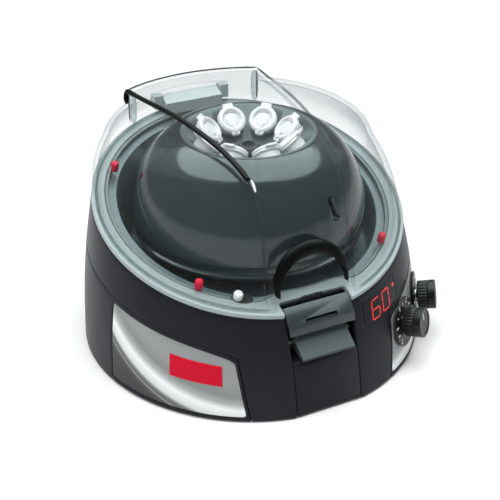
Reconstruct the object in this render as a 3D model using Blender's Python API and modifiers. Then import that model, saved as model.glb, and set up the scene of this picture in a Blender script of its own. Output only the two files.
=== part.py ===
"""Personal mini centrifuge: a round tilted-rim housing, a clear hinged lid and an eight-place angle rotor.

Metres, +Z up. Every shape is worked out about the rotor's vertical axis, which stands at AXIS_X, AXIS_Y;
the front, with the latch, looks along -Y. Azimuths are measured from the front towards +X.
"""

import math
from math import cos, pi, radians, sin

import bmesh
import bpy
from mathutils import Matrix, Vector

# Where the rotor's axis stands in the part's frame, whose origin is under the middle of the whole part.
AXIS_X = 0.0
AXIS_Y = 0.0012
GAP = 0.0003

# Housing: a base circle lofted to a rim circle that leans forward.
BASE_RADIUS = 0.0790
BASE_Y = -0.0022
BASE_Z = 0.0008
RIM_RADIUS = 0.0710
RIM_Y = -0.0010
RIM_Z = 0.0654
RIM_TILT = radians(17)
RIM_SEAT = 0.0023
SWELL = 0.0015
WALL = 0.0024
SEAM_RISE = 0.715
SEAM_GAP = 0.006
APRON_FOOT = radians(25.8)
APRON_SPREAD = radians(5.2)
WALL_COLUMNS = 48
COVER_RADIUS = 0.0742

# Side plates, display and dials on the wall.
PLATE_BACK = radians(76.5)
PLATE_POCKET = 0.0013
PLATE_SHEET = 0.0009
BADGE_SPAN = (radians(-51.5), radians(-34.2))
BADGE_RISE = (0.345, 0.535)
WINDOW_SPAN = (radians(16.8), radians(36.0))
WINDOW_RISE = (0.700, 0.935)
KNOB_AZIMUTHS = {"speed": radians(37.8), "timer": radians(55.0)}
KNOB_Z = 0.0200
KNOB_RADIUS = 0.0067
KNOB_END = 0.0100
DIAL_RADIUS = 0.0112
BUSHING_RADIUS = 0.0032
STEM_RADIUS = 0.0015
CAN_RADIUS = 0.0078

# Rim ring and chamber.
RING_INNER = 0.0630
RING_SHIFT = 0.0012
RING_TONGUE = 0.0045
BOWL_EDGE = 0.0590
BOWL_RADIUS = 0.0556
BOWL_FLOOR_Z = 0.0415
BOWL_WALL = 0.0016
SHAFT_HOLE = 0.0090
PIN_R = 0.0623
PIN_AZIMUTHS = (radians(-45), radians(45), radians(123), radians(-123))
PLUNGER_AZIMUTH = radians(-29.5)
PLUNGER_RADIUS = 0.0020
PLUNGER_TOP = 0.0031

# Front channel with its latch.
CHANNEL = 0.0157
NOTCH_Y = -0.0604
LATCH_AXIS = Vector((0, -0.0663, 0.0305))

# Lid.
LID_WALL = 0.0018
LID_FOOT = 0.0697
LID_BULGE = 0.0025
LID_FOOT_LIFT = 0.0003
SHOULDER_RADIUS = 0.0600
SHOULDER_Y = 0.0110
SHOULDER_Z = 0.0920
DOME_TOP = 0.1030
DOME_POWER = 2.6
BAND_WIDTH = 0.0266
BAND_TAPER = 0.1256
BAND_PROFILE = [
    (0.0780, 0.0925), (0.0780, 0.0997), (0.0590, 0.1014), (0.0440, 0.1026), (0.0175, 0.1049),
    (0.0000, 0.1053), (-0.0190, 0.1044), (-0.0315, 0.1024), (-0.0405, 0.0998), (-0.0452, 0.0968),
    (-0.0482, 0.0920), (-0.0518, 0.0825), (-0.0558, 0.0700), (-0.0602, 0.0479),
]
BAND_FRONT_POINTS = 8
BAND_CLEAR_Z = 0.1150
HINGE_AXIS = Vector((0, 0.0668, 0.0893))
GRIP_STEPS = 16
GRIP_PROUD = (0.0032, 0.0028, 0.0010)
HINGE_PIN = 0.0015
HINGE_NOTCH = 0.0200

# Drive and rotor.
MOTOR_RADIUS = 0.0190
MOTOR_BOSS = 0.0078
SHAFT_RADIUS = 0.0025
COLLAR_RADIUS = 0.0055
ROTOR_STEPS = 32
TUBES = 8
TUBE_TILT = radians(45)
TUBE_PHASE = radians(-1.5)
CAP_CENTRE_R = 0.0182
CAP_CENTRE_Z = 0.0955
TUBE_HOLE = 0.0058
CAP_RADIUS = 0.0065
SLOT_AZIMUTH = radians(22)
SLOT_LEAN = radians(16)

for old in list(bpy.data.objects):
    bpy.data.objects.remove(old, do_unlink=True)

PARTS = bpy.data.collections.new("mini_centrifuge")
CUTTERS = bpy.data.collections.new("cutters")
bpy.context.scene.collection.children.link(PARTS)
bpy.context.scene.collection.children.link(CUTTERS)
AXIS = bpy.data.objects.new("rotor_axis", None)
AXIS.location = (AXIS_X, AXIS_Y, 0)
PARTS.objects.link(AXIS)


def material(name, color, roughness, metallic=0.0, alpha=1.0):
    made = bpy.data.materials.new(name)
    made.use_nodes = True
    shader = made.node_tree.nodes["Principled BSDF"]
    shader.inputs["Base Color"].default_value = (*color, 1)
    shader.inputs["Roughness"].default_value = roughness
    shader.inputs["Metallic"].default_value = metallic
    shader.inputs["Alpha"].default_value = alpha
    return made


CHARCOAL = material("charcoal_plastic", (0.022, 0.026, 0.032), 0.35)
RIM_GREY = material("rim_grey_plastic", (0.32, 0.37, 0.37), 0.45)
SLATE = material("slate_plastic", (0.085, 0.115, 0.12), 0.35)
BLACK = material("black_plastic", (0.012, 0.012, 0.013), 0.4)
SILVER = material("brushed_silver", (0.62, 0.65, 0.66), 0.3, 1.0)
RED = material("red_badge", (0.7, 0.01, 0.04), 0.35)
RED_RUBBER = material("red_rubber", (0.75, 0.03, 0.08), 0.6)
WHITE = material("white_plastic", (0.85, 0.86, 0.86), 0.45)
CLEAR = material("clear_lid", (0.9, 0.95, 0.95), 0.05, 0.0, 0.3)
SMOKED = material("smoked_window", (0.02, 0.022, 0.028), 0.1)
RUBBER = material("black_rubber", (0.02, 0.02, 0.02), 0.8)
STEEL = material("steel", (0.55, 0.56, 0.57), 0.3, 1.0)
BOARD = material("circuit_board", (0.02, 0.16, 0.06), 0.5)


# ---- building tools -------------------------------------------------------------------------------


def place(obj, finish, cutter=False):
    """Puts an object in its collection, on the rotor's axis, and a cutter out of the render."""
    (CUTTERS if cutter else PARTS).objects.link(obj)
    obj.parent = AXIS
    if cutter:
        obj.hide_render = True
        obj.display_type = "WIRE"
    elif finish:
        obj.data.materials.append(finish)
        obj.data.shade_smooth()
        obj.data.set_sharp_from_angle(angle=radians(35))
    return obj


def from_points(name, points, faces, finish, origin=(0, 0, 0), cutter=False):
    """A closed body of these points, with its faces turned outwards and its origin where it is asked for."""
    mesh = bpy.data.meshes.new(name)
    start = Vector(origin)
    mesh.from_pydata([Vector(point) - start for point in points], [], faces)
    work = bmesh.new()
    work.from_mesh(mesh)
    bmesh.ops.remove_doubles(work, verts=work.verts, dist=1e-6)
    bmesh.ops.recalc_face_normals(work, faces=work.faces)
    if work.calc_volume(signed=True) < 0:
        bmesh.ops.reverse_faces(work, faces=work.faces)
    work.to_mesh(mesh)
    work.free()
    obj = bpy.data.objects.new(name, mesh)
    obj.location = start
    return place(obj, finish, cutter)


def lofted_ring(name, section, finish, columns=WALL_COLUMNS, origin=(0, 0, 0), cutter=False):
    """A ring whose closed section, a list of points for each azimuth, goes once round the axis."""
    rings = [section(2 * pi * column / columns) for column in range(columns)]
    size = len(rings[0])
    points = [point for ring in rings for point in ring]
    faces = []
    for column in range(columns):
        after = (column + 1) % columns
        for row in range(size):
            up = (row + 1) % size
            near = column * size
            far = after * size
            faces.append((near + row, far + row, far + up, near + up))
    return from_points(name, points, faces, finish, origin, cutter)


def lofted_stack(name, loops, finish, cutter=False):
    """A solid of loops of points, one above another, closed by a flat face at each end."""
    size = len(loops[0])
    points = [point for loop in loops for point in loop]
    faces = [tuple(range(size)), tuple(range(len(points) - size, len(points)))]
    for level in range(len(loops) - 1):
        for column in range(size):
            after = (column + 1) % size
            low = level * size
            faces.append((low + column, low + after, low + size + after, low + size + column))
    return from_points(name, points, faces, finish, cutter=cutter)


def slab(name, front, back, finish, cutter=False):
    """A solid between two grids of points, front[column][row] and back[column][row]."""
    columns = len(front)
    rows = len(front[0])
    loops = []
    for column in range(columns):
        loops.append(list(front[column]) + list(reversed(back[column])))
    size = 2 * rows
    points = [point for loop in loops for point in loop]
    faces = []
    for end in (0, (columns - 1) * size):
        for row in range(rows - 1):
            faces.append((end + row, end + row + 1, end + size - 2 - row, end + size - 1 - row))
    for column in range(columns - 1):
        low = column * size
        for row in range(size):
            up = (row + 1) % size
            faces.append((low + row, low + up, low + size + up, low + size + row))
    return from_points(name, points, faces, finish, cutter=cutter)


def extruded(name, outline, half_width, finish, origin=(0, 0, 0), cutter=False):
    """A prism along X of a flat outline of (y, z) points; half_width may be a number or a function of y."""
    reach = half_width if callable(half_width) else lambda y: half_width
    loops = [[Vector((side * reach(y), y, z)) for y, z in outline] for side in (-1, 1)]
    size = len(outline)
    faces = [tuple(range(size)), tuple(range(size, 2 * size))]
    for row in range(size):
        up = (row + 1) % size
        faces.append((row, up, size + up, size + row))
    return from_points(name, loops[0] + loops[1], faces, finish, origin, cutter)


def turned(
    name, profile, finish, steps=24, location=(0, 0, 0), direction=(0, 0, 1), cutter=False, ring=False
):
    """A turned piece. Its (radius, height) profile runs down its outer side; a ring's profile is closed."""
    mesh = bpy.data.meshes.new(name)
    edges = [(step, step + 1) for step in range(len(profile) - 1)]
    if ring:
        edges.append((len(profile) - 1, 0))
    mesh.from_pydata([(radius, 0, height) for radius, height in profile], edges, [])
    obj = bpy.data.objects.new(name, mesh)
    screw = obj.modifiers.new("turn", "SCREW")
    screw.axis = "Z"
    screw.angle = 2 * pi
    screw.steps = steps
    screw.render_steps = steps
    screw.use_merge_vertices = True
    screw.merge_threshold = 0.00001
    screw.use_smooth_shade = True
    obj.location = location
    obj.rotation_mode = "QUATERNION"
    obj.rotation_quaternion = Vector((0, 0, 1)).rotation_difference(Vector(direction))
    (CUTTERS if cutter else PARTS).objects.link(obj)
    obj.parent = AXIS
    if cutter:
        obj.hide_render = True
        obj.display_type = "WIRE"
    else:
        mesh.materials.append(finish)
    return obj


def rod(radius, low, high):
    """The profile of a plain round rod, from its top to its bottom."""
    return [(0, high), (radius, high), (radius, low), (0, low)]


def box(name, size, centre, finish, azimuth=0.0, lean=0.0, bevel=0.0, cutter=False, origin=None):
    """A box whose local -Y looks out at an azimuth; lean tips its outward face up."""
    mesh = bpy.data.meshes.new(name)
    work = bmesh.new()
    bmesh.ops.create_cube(work, size=1)
    bmesh.ops.scale(work, vec=size, verts=work.verts)
    turn = Matrix.Rotation(azimuth, 3, "Z") @ Matrix.Rotation(-lean, 3, "X")
    bmesh.ops.rotate(work, cent=(0, 0, 0), matrix=turn, verts=work.verts)
    start = Vector(origin) if origin is not None else Vector(centre)
    bmesh.ops.translate(work, vec=Vector(centre) - start, verts=work.verts)
    work.to_mesh(mesh)
    work.free()
    obj = bpy.data.objects.new(name, mesh)
    obj.location = start
    if bevel:
        rounding = obj.modifiers.new("rounding", "BEVEL")
        rounding.width = bevel
        rounding.segments = 1
    return place(obj, finish, cutter)


def boolean(obj, others, operation):
    for other in others:
        step = obj.modifiers.new(other.name, "BOOLEAN")
        step.operation = operation
        step.object = other
        step.solver = "EXACT"
    return obj


def cut(obj, *cutters):
    return boolean(obj, cutters, "DIFFERENCE")


def join(obj, *others):
    return boolean(obj, others, "UNION")


# ---- the wall and the rim -------------------------------------------------------------------------


def outward(azimuth):
    return Vector((sin(azimuth), -cos(azimuth), 0))


def rim_point(azimuth, radius, height=0.0, shift=0.0):
    """A point by its radius and height over the leaning rim circle; shift slides it to the back."""
    along = shift - radius * cos(azimuth)
    y = RIM_Y + along * cos(RIM_TILT) - height * sin(RIM_TILT)
    z = RIM_Z + along * sin(RIM_TILT) + height * cos(RIM_TILT)
    return Vector((radius * sin(azimuth), y, z))


def wall_point(azimuth, rise, inset=0.0):
    """A point of the housing's wall: rise goes from 0 at the table to 1 under the rim ring."""
    foot = Vector((0, BASE_Y, BASE_Z)) + outward(azimuth) * (BASE_RADIUS - inset)
    top = rim_point(azimuth, RIM_RADIUS - inset, -RIM_SEAT)
    return foot.lerp(top, rise) + outward(azimuth) * SWELL * sin(pi * rise)


def seam(azimuth):
    """How high up the wall the seam between the two housings runs. It dips beside the front apron."""
    turn = abs((azimuth + pi) % (2 * pi) - pi)
    return SEAM_RISE - 0.095 * math.exp(-(turn - radians(29)) / radians(9)) - 0.05 * (turn / pi) ** 2


def apron(rise):
    """Half the angle of the front apron, which spreads towards its top."""
    return APRON_FOOT + APRON_SPREAD * rise


def wall_patch(name, start, end, low, high, inset, outset, finish, columns=24, rows=6, cutter=False):
    """A piece of the wall between two edges, each a function of rise, and two heights of the azimuth."""
    front = []
    back = []
    for column in range(columns + 1):
        share = column / columns
        middle = start(0.4) + (end(0.4) - start(0.4)) * share
        line = []
        for row in range(rows + 1):
            rise = low(middle) + (high(middle) - low(middle)) * row / rows
            line.append((start(rise) + (end(rise) - start(rise)) * share, rise))
        front.append([wall_point(azimuth, rise, -outset) for azimuth, rise in line])
        back.append([wall_point(azimuth, rise, inset) for azimuth, rise in line])
    return slab(name, front, back, finish, cutter)


def level(value):
    return lambda _: value


def ring_edge(azimuth):
    """The rim ring's inner radius, with a tongue behind the latch."""
    turn = (azimuth + pi) % (2 * pi) - pi
    return RING_INNER - RING_TONGUE * math.exp(-((turn / radians(20)) ** 4))


def channel_cutter(name, half_width, back_y, low_z):
    size = (2 * half_width, 0.04, 0.1)
    return box(name, size, (0, back_y - 0.02, low_z + 0.05), None, cutter=True)


def rim_cutter(name, azimuth, radius):
    """A round hole through the rim at a pin, along the rim's normal."""
    spot = rim_point(azimuth, PIN_R)
    normal = (0, -sin(RIM_TILT), cos(RIM_TILT))
    return turned(name, rod(radius, -0.008, 0.008), None, 16, spot, normal, cutter=True)


def plate_corner(azimuth, near, far, radius=radians(4)):
    """How much a rounded corner lowers a plate's edge, as a share of the corner's size."""
    room = min(abs(azimuth - near), abs(far - azimuth))
    if room >= radius:
        return 0.0
    return 1 - math.sqrt(max(0.0, 1 - (1 - room / radius) ** 2))


def knob_frame(azimuth):
    """Where a knob's axis leaves the wall, and which way it points."""
    rise = (KNOB_Z - BASE_Z) / (wall_point(azimuth, 1).z - BASE_Z)
    spot = wall_point(azimuth, rise)
    slope = wall_point(azimuth, rise + 0.05) - wall_point(azimuth, rise - 0.05)
    across = Vector((cos(azimuth), sin(azimuth), 0))
    return spot, across.cross(slope).normalized()


def build_housing():
    lower = wall_patch(
        "lower_housing",
        lambda rise: apron(rise) + 0.004, lambda rise: 2 * pi - apron(rise) - 0.004,
        level(0.0), lambda azimuth: seam(azimuth) - SEAM_GAP / 2,
        WALL, 0.0, CHARCOAL, columns=40, rows=4,
    )
    zone = wall_patch(
        "lower_zone", apron, lambda rise: 2 * pi - apron(rise), level(-0.05),
        lambda azimuth: seam(azimuth) + SEAM_GAP / 2, 0.006, 0.006, None, columns=40, rows=4, cutter=True,
    )

    def section(azimuth):
        outer = [wall_point(azimuth, row / 5) for row in range(6)]
        inner = [wall_point(azimuth, row / 5, WALL) for row in reversed(range(6))]
        return outer + inner

    upper = lofted_ring("upper_housing", section, CHARCOAL)
    channel = channel_cutter("channel", CHANNEL, -0.055, -0.01)
    cut(upper, zone, channel)
    return lower, upper


def build_plates(lower):
    plates = {}
    for side, name in ((-1, "label_plate"), (1, "control_plate")):
        near = side * (APRON_FOOT + radians(1.2))
        far = side * PLATE_BACK

        def edge(rise, side=side):
            return side * (apron(rise) + radians(1.2))

        def top(azimuth, near=side * apron(0.4), far=far):
            return seam(azimuth) - 0.045 - 0.09 * plate_corner(azimuth, near, far)

        def foot(azimuth, near=near, far=far):
            return 0.045 + 0.05 * plate_corner(azimuth, near, far)

        for kind in ("sheet", "pocket"):
            grow = 0.004 if kind == "pocket" else 0.0
            piece = wall_patch(
                name if kind == "sheet" else name + "_pocket",
                lambda rise, grow=grow: edge(rise) - side * grow, level(far + side * grow),
                lambda azimuth, grow=grow: foot(azimuth) - 2 * grow,
                lambda azimuth, grow=grow: top(azimuth) + 2 * grow,
                PLATE_SHEET + 0.0001 if kind == "sheet" else PLATE_POCKET,
                -0.0001 if kind == "sheet" else 0.004,
                SILVER if kind == "sheet" else None, columns=14, rows=3, cutter=kind == "pocket",
            )
            if kind == "pocket":
                cut(lower, piece)
            else:
                plates[name] = piece
    wall_patch(
        "badge", level(BADGE_SPAN[0]), level(BADGE_SPAN[1]), level(BADGE_RISE[0]), level(BADGE_RISE[1]),
        -0.0002, 0.0006, RED, columns=6, rows=2,
    )
    return plates


def build_display(upper):
    def patch(name, grow, inset, outset, finish):
        return wall_patch(
            name, level(WINDOW_SPAN[0] - grow), level(WINDOW_SPAN[1] + grow),
            level(WINDOW_RISE[0] - 1.6 * grow), level(WINDOW_RISE[1] + 1.6 * grow),
            inset, outset, finish, columns=8, rows=2, cutter=finish is None,
        )

    patch("display_window", 0.0, 0.0011, -0.0001, SMOKED)
    cut(upper, patch("window_pocket", 0.004, 0.0014, 0.004, None))
    cut(upper, patch("window_opening", -0.03, 0.006, 0.004, None))
    middle = sum(WINDOW_SPAN) / 2
    spot = wall_point(middle, sum(WINDOW_RISE) / 2)
    box("led_module", (0.0160, 0.0030, 0.0050), spot - outward(middle) * 0.0054, BLACK, middle, 0.14)
    box("display_board", (0.0260, 0.0016, 0.0120), spot - outward(middle) * 0.0080, BOARD, middle, 0.14)


def build_controls(lower, plate):
    for name, azimuth in KNOB_AZIMUTHS.items():
        spot, axis = knob_frame(azimuth)
        opening = rod(BUSHING_RADIUS + GAP, -0.006, 0.006)
        hole = turned(name + "_hole", opening, None, 20, spot, axis, cutter=True)
        cut(lower, hole)
        cut(plate, hole)
        bore = STEM_RADIUS + GAP
        dial = [(DIAL_RADIUS, 0.0009), (DIAL_RADIUS, 0.0002), (0.0036, 0.0002), (0.0036, 0.0009)]
        turned(name + "_dial", dial, BLACK, 32, spot, axis, ring=True)
        body = [
            (bore, 0.0012), (BUSHING_RADIUS, 0.0012), (BUSHING_RADIUS, -0.0034),
            (CAN_RADIUS, -0.0034), (CAN_RADIUS, -0.0110), (bore, -0.0110),
        ]
        turned(name + "_potentiometer", body, STEEL, 24, spot, axis, ring=True)
        knob = [
            (0, KNOB_END), (KNOB_RADIUS - 0.0007, KNOB_END), (KNOB_RADIUS, KNOB_END - 0.0007),
            (KNOB_RADIUS, 0.0022), (KNOB_RADIUS - 0.0005, 0.0017),
            (STEM_RADIUS, 0.0017), (STEM_RADIUS, -0.0100), (0, -0.0100),
        ]
        turned(name + "_knob", knob, BLACK, 28, spot, axis)


def build_rim_and_bowl():
    def ring_section(azimuth):
        inner = ring_edge(azimuth)
        return [
            rim_point(azimuth, RIM_RADIUS - 0.0001, -0.0020), rim_point(azimuth, RIM_RADIUS, -0.0008),
            rim_point(azimuth, RIM_RADIUS - 0.0007, 0), rim_point(azimuth, inner + 0.0006, 0, RING_SHIFT),
            rim_point(azimuth, inner, -0.0006, RING_SHIFT), rim_point(azimuth, inner, -0.0020, RING_SHIFT),
        ]

    ring = lofted_ring("rim_ring", ring_section, RIM_GREY)
    cut(ring, channel_cutter("ring_notch", CHANNEL, NOTCH_Y, 0.03))
    cut(ring, box("strike_slot", (0.0112, 0.0022, 0.02), (0, -0.0599, 0.047), None, cutter=True))

    def bowl_section(azimuth):
        flange = ring_edge(azimuth) + 0.0012
        edge = min(BOWL_EDGE, flange - 0.0008)
        wall = outward(azimuth)
        inner = [
            rim_point(azimuth, 0.0672, -0.0023), rim_point(azimuth, flange, -0.0023, RING_SHIFT),
            rim_point(azimuth, edge, -0.0034, RING_SHIFT),
            wall * BOWL_RADIUS + Vector((0, 0, BOWL_FLOOR_Z + 0.0020)),
            wall * (BOWL_RADIUS - 0.0020) + Vector((0, 0, BOWL_FLOOR_Z)),
            wall * SHAFT_HOLE + Vector((0, 0, BOWL_FLOOR_Z)),
        ]
        floor = BOWL_FLOOR_Z - BOWL_WALL
        outer = [
            wall * SHAFT_HOLE + Vector((0, 0, floor)),
            wall * (BOWL_RADIUS - 0.0010) + Vector((0, 0, floor)),
            wall * (BOWL_RADIUS + BOWL_WALL) + Vector((0, 0, 0.0425)),
            rim_point(azimuth, edge + BOWL_WALL, -0.0042, RING_SHIFT),
            rim_point(azimuth, 0.0672, -0.0038),
        ]
        return inner + outer

    bowl = lofted_ring("chamber_bowl", bowl_section, SLATE, 40)
    cut(bowl, channel_cutter("bowl_notch", CHANNEL + 0.0006, -0.0590, 0.0400))
    plunger_hole = rim_cutter("plunger_hole", PLUNGER_AZIMUTH, 0.0026)
    cut(ring, plunger_hole)
    cut(bowl, plunger_hole)
    normal = (0, -sin(RIM_TILT), cos(RIM_TILT))
    plunger = [
        (0, PLUNGER_TOP), (PLUNGER_RADIUS - 0.0004, PLUNGER_TOP), (PLUNGER_RADIUS, PLUNGER_TOP - 0.0004),
        (PLUNGER_RADIUS, -0.0070), (0, -0.0070),
    ]
    turned("interlock_plunger", plunger, WHITE, 16, rim_point(PLUNGER_AZIMUTH, PIN_R), normal)
    under = rim_point(PLUNGER_AZIMUTH, PIN_R + 0.0022, -0.0137)
    box("interlock_switch", (0.0120, 0.0050, 0.0080), under, BLACK, PLUNGER_AZIMUTH, bevel=0.0004)
    for count, azimuth in enumerate(PIN_AZIMUTHS, 1):
        bumper = [(0, 0.0050), (0.0012, 0.0050), (0.0018, 0.0044), (0.0018, GAP), (0, GAP)]
        turned("bumper_%d" % count, bumper, RED_RUBBER, 16, rim_point(azimuth, PIN_R), normal)
    seal = [(0.0086, 0.0412), (0.0086, 0.0402), (0.0062, 0.0402), (0.0062, 0.0412)]
    turned("shaft_seal", seal, RUBBER, 24, ring=True)


def build_base():
    middle = (0, BASE_Y, 0)
    cover = turned("bottom_cover", rod(COVER_RADIUS, 0.0030, 0.0050), BLACK, 48, middle)
    for row in (-1, 1):
        for slot in range(4):
            spot = (row * 0.036, BASE_Y + 0.009 * (slot - 1.5), 0.004)
            vent = box("vent_%d_%d" % (row + 2, slot), (0.020, 0.0035, 0.006), spot, None, cutter=True)
            cut(cover, vent)
    for count in range(4):
        spot = Vector(middle) + outward(radians(45 + 90 * count)) * 0.060
        foot = [(0, 0.0027), (0.0080, 0.0027), (0.0080, 0.0008), (0.0072, 0), (0, 0)]
        turned("foot_%d" % (count + 1), foot, RUBBER, 20, spot)
    for count in range(3):
        spot = outward(radians(60 + 120 * count)) * 0.0245
        turned("motor_post_%d" % (count + 1), rod(0.0042, 0.0053, 0.0330), RUBBER, 16, spot)
    plate = [(0.0300, 0.0353), (0.0300, 0.0333), (0.0083, 0.0333), (0.0083, 0.0353)]
    turned("motor_plate", plate, STEEL, 32, ring=True)
    bore = SHAFT_RADIUS + 0.0001
    motor = [
        (bore, 0.0372), (MOTOR_BOSS, 0.0372), (MOTOR_BOSS, 0.0325),
        (MOTOR_RADIUS, 0.0325), (MOTOR_RADIUS, 0.0082), (bore, 0.0082),
    ]
    turned("motor", motor, STEEL, 32, ring=True)
    box("control_board", (0.0260, 0.0520, 0.0016), (-0.0480, 0.0050, 0.0120), BOARD)
    box("power_supply", (0.0260, 0.0400, 0.0220), (0.0460, 0.0200, 0.0166), BLACK, bevel=0.0008)


def build_front():
    def wall_y(z, inset):
        rise = (z - BASE_Z) / (wall_point(0, 1).z - BASE_Z)
        return wall_point(0, rise, inset).y

    shelf = 0.0245
    outline = [
        (wall_y(0.0012, 0.0016), 0.0012), (wall_y(0.0120, 0.0016), 0.0120),
        (wall_y(shelf, 0.0016), shelf),
        (-0.0640, shelf), (-0.0632, 0.0448), (-0.0616, 0.0448), (-0.0622, shelf - 0.0016),
        (wall_y(shelf, 0.0034), shelf - 0.0016), (wall_y(0.0012, 0.0036), 0.0012),
    ]
    insert = extruded("front_insert", outline, CHANNEL - GAP, CHARCOAL)
    window = box("hook_window", (0.0090, 0.006, 0.0070), (0, -0.0628, 0.0385), None, cutter=True)
    cut(insert, window)
    ramp = [
        (-0.0642, 0.0449), (-0.0635, 0.0462), (-0.0703, 0.0404), (-0.0712, 0.0361), (-0.0696, 0.0361),
        (-0.0690, 0.0392), (-0.0647, 0.0429),
    ]
    keeper = extruded("latch_frame", ramp, CHANNEL - GAP, SLATE)
    slot = box("frame_slot", (0.0150, 0.008, 0.0014), (0, -0.0685, 0.0411), None, cutter=True)
    cut(keeper, slot)
    lever = [
        (-0.0682, 0.0284), (-0.0765, 0.0262), (-0.0772, 0.0277), (-0.0702, 0.0322), (-0.0682, 0.0344),
        (-0.0676, 0.0390), (-0.0611, 0.0390), (-0.0613, 0.0372), (-0.0656, 0.0372), (-0.0645, 0.0330),
        (-0.0645, 0.0290),
    ]
    latch = extruded("latch", lever, 0.0125, BLACK, LATCH_AXIS)
    bore = turned("latch_bore", rod(0.0011, -0.02, 0.02), None, 16, LATCH_AXIS, (1, 0, 0), cutter=True)
    cut(latch, bore)
    for side in (-1, 1):
        beside = (side * 0.0095, -0.0600, 0.0392)
        trim = box("hook_trim_%d" % (side + 2), (0.0120, 0.012, 0.0080), beside, None, cutter=True)
        cut(latch, trim)
    turned("latch_pin", rod(0.0010, -0.0150, 0.0150), STEEL, 12, LATCH_AXIS, (1, 0, 0))


def build_back(lower):
    inlet_azimuth = radians(180)
    for name, azimuth, size in (("power_inlet", inlet_azimuth, (0.0260, 0.0180)),
                                ("switch_frame", radians(208), (0.0150, 0.0210))):
        spot = wall_point(azimuth, 0.27)
        middle = spot - outward(azimuth) * 0.0075
        opening = (size[0] + 2 * GAP, 0.03, size[1] + 2 * GAP)
        hole = box(name + "_hole", opening, spot, None, azimuth, cutter=True)
        cut(lower, hole)
        body = box(name, (size[0], 0.0180, size[1]), middle, BLACK, azimuth)
        hollow = spot - outward(azimuth) * 0.0045
        room = (size[0] - 0.004, 0.0140, size[1] - 0.004)
        cut(body, box(name + "_hollow", room, hollow, None, azimuth, cutter=True))
        if name == "power_inlet":
            for pin, offset in enumerate((-0.0060, 0.0, 0.0060)):
                across = Vector((cos(azimuth), sin(azimuth), 0))
                place_at = spot - outward(azimuth) * 0.0080 + across * offset + Vector((0, 0, -0.0028))
                blade = (0.0016, 0.0094, 0.0036)
                join(body, box("contact_%d" % pin, blade, place_at, None, azimuth, cutter=True))
        else:
            pivot = spot - outward(azimuth) * 0.0030
            box("power_rocker", (0.0098, 0.0050, 0.0150), pivot, RED, azimuth, bevel=0.0010, origin=pivot)


def lid_width(inset):
    return lambda y: BAND_WIDTH + BAND_TAPER * y - inset


def dome(name, inset, drop, finish=None, cutter=False, columns=40):
    """The lid's round body: a foot on the leaning rim, a barrel wall and a flattened crown."""
    loops = []
    span = [2 * pi * column / columns for column in range(columns)]
    foot = [rim_point(azimuth, LID_FOOT - inset, LID_FOOT_LIFT - drop) for azimuth in span]
    centre = Vector((0, SHOULDER_Y, SHOULDER_Z - inset / 2))
    radius = SHOULDER_RADIUS - inset
    height = DOME_TOP - inset / 2 - SHOULDER_Z
    shoulder = [centre + outward(azimuth) * radius for azimuth in span]
    loops.append(foot)
    for share in (0.2, 0.5, 0.8, 1.0):
        bulge = LID_BULGE * sin(pi * share)
        loops.append([low.lerp(high, share) + outward(azimuth) * bulge
                      for azimuth, low, high in zip(span, foot, shoulder)])
    for share in (0.25, 0.45, 0.65, 0.82, 0.95):
        turn = share * pi / 2
        out = radius * cos(turn) ** (2 / DOME_POWER)
        up = height * sin(turn) ** (2 / DOME_POWER)
        loops.append([centre + outward(azimuth) * out + Vector((0, 0, up)) for azimuth in span])
    return lofted_stack(name, loops, finish, cutter)


def inner_profile(points, wall):
    """An outline moved inwards by the wall: each point goes along the mean of its two edges' normals."""
    moved = []
    for index, (y, z) in enumerate(points):
        before = Vector(points[max(index - 1, 0)])
        after = Vector(points[min(index + 1, len(points) - 1)])
        along = (after - before).normalized()
        moved.append((y - along.y * wall, z + along.x * wall))
    return moved


def front_gap(name, front, inset):
    """The space in front of the lid's flat front face, between the band's sides."""
    foot_y, foot_z = front[-1]
    outline = front + [(foot_y - 0.001, foot_z - 0.008), (-0.095, foot_z - 0.008), (-0.095, BAND_CLEAR_Z),
                       (front[0][0], BAND_CLEAR_Z)]
    return extruded(name, outline, lid_width(inset), None, cutter=True)


def back_limit(name, inset):
    """A tall prism whose round back end is the curve of the band's back edge."""
    radius = SHOULDER_RADIUS - inset
    turns = [pi * step / 24 for step in range(25)]
    outline = [(radius * cos(turn), SHOULDER_Y + radius * sin(turn)) for turn in turns]
    outline += [(-radius, -0.12), (radius, -0.12)]
    loops = [[Vector((x, y, z)) for x, y in outline] for z in (0.02, 0.13)]
    return lofted_stack(name, loops, None, cutter=True)


def build_lid():
    below = 0.0100
    profile = BAND_PROFILE
    inner = inner_profile(BAND_PROFILE, LID_WALL)
    lid = dome("lid_shell", 0.0, 0.0, CLEAR)
    cut(lid, front_gap("front_gap", profile[-BAND_FRONT_POINTS:], 0.0))
    band = extruded("band", profile, lid_width(0.0), None, cutter=True)
    boolean(band, [back_limit("band_limit", 0.0001)], "INTERSECT")
    join(lid, band)
    hollow = dome("lid_hollow", LID_WALL, 0.003, cutter=True)
    cut(hollow, front_gap("front_gap_wall", inner[-BAND_FRONT_POINTS:], -LID_WALL))
    room = inner + [(inner[-1][0], inner[-1][1] - below)]
    space = extruded("band_hollow", room, lid_width(LID_WALL), None, cutter=True)
    boolean(space, [back_limit("hollow_limit", LID_WALL + 0.0002)], "INTERSECT")
    join(hollow, space)
    cut(lid, hollow)
    notch = box("hinge_notch", (2 * HINGE_NOTCH, 0.02, 0.02), (0, 0.0690, 0.0838), None, cutter=True)
    cut(lid, notch)
    build_grip()
    build_hinge()
    box("lid_strike", (0.0100, 0.0014, 0.0044), (0, -0.0599, 0.0451), STEEL, origin=HINGE_AXIS)


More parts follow.
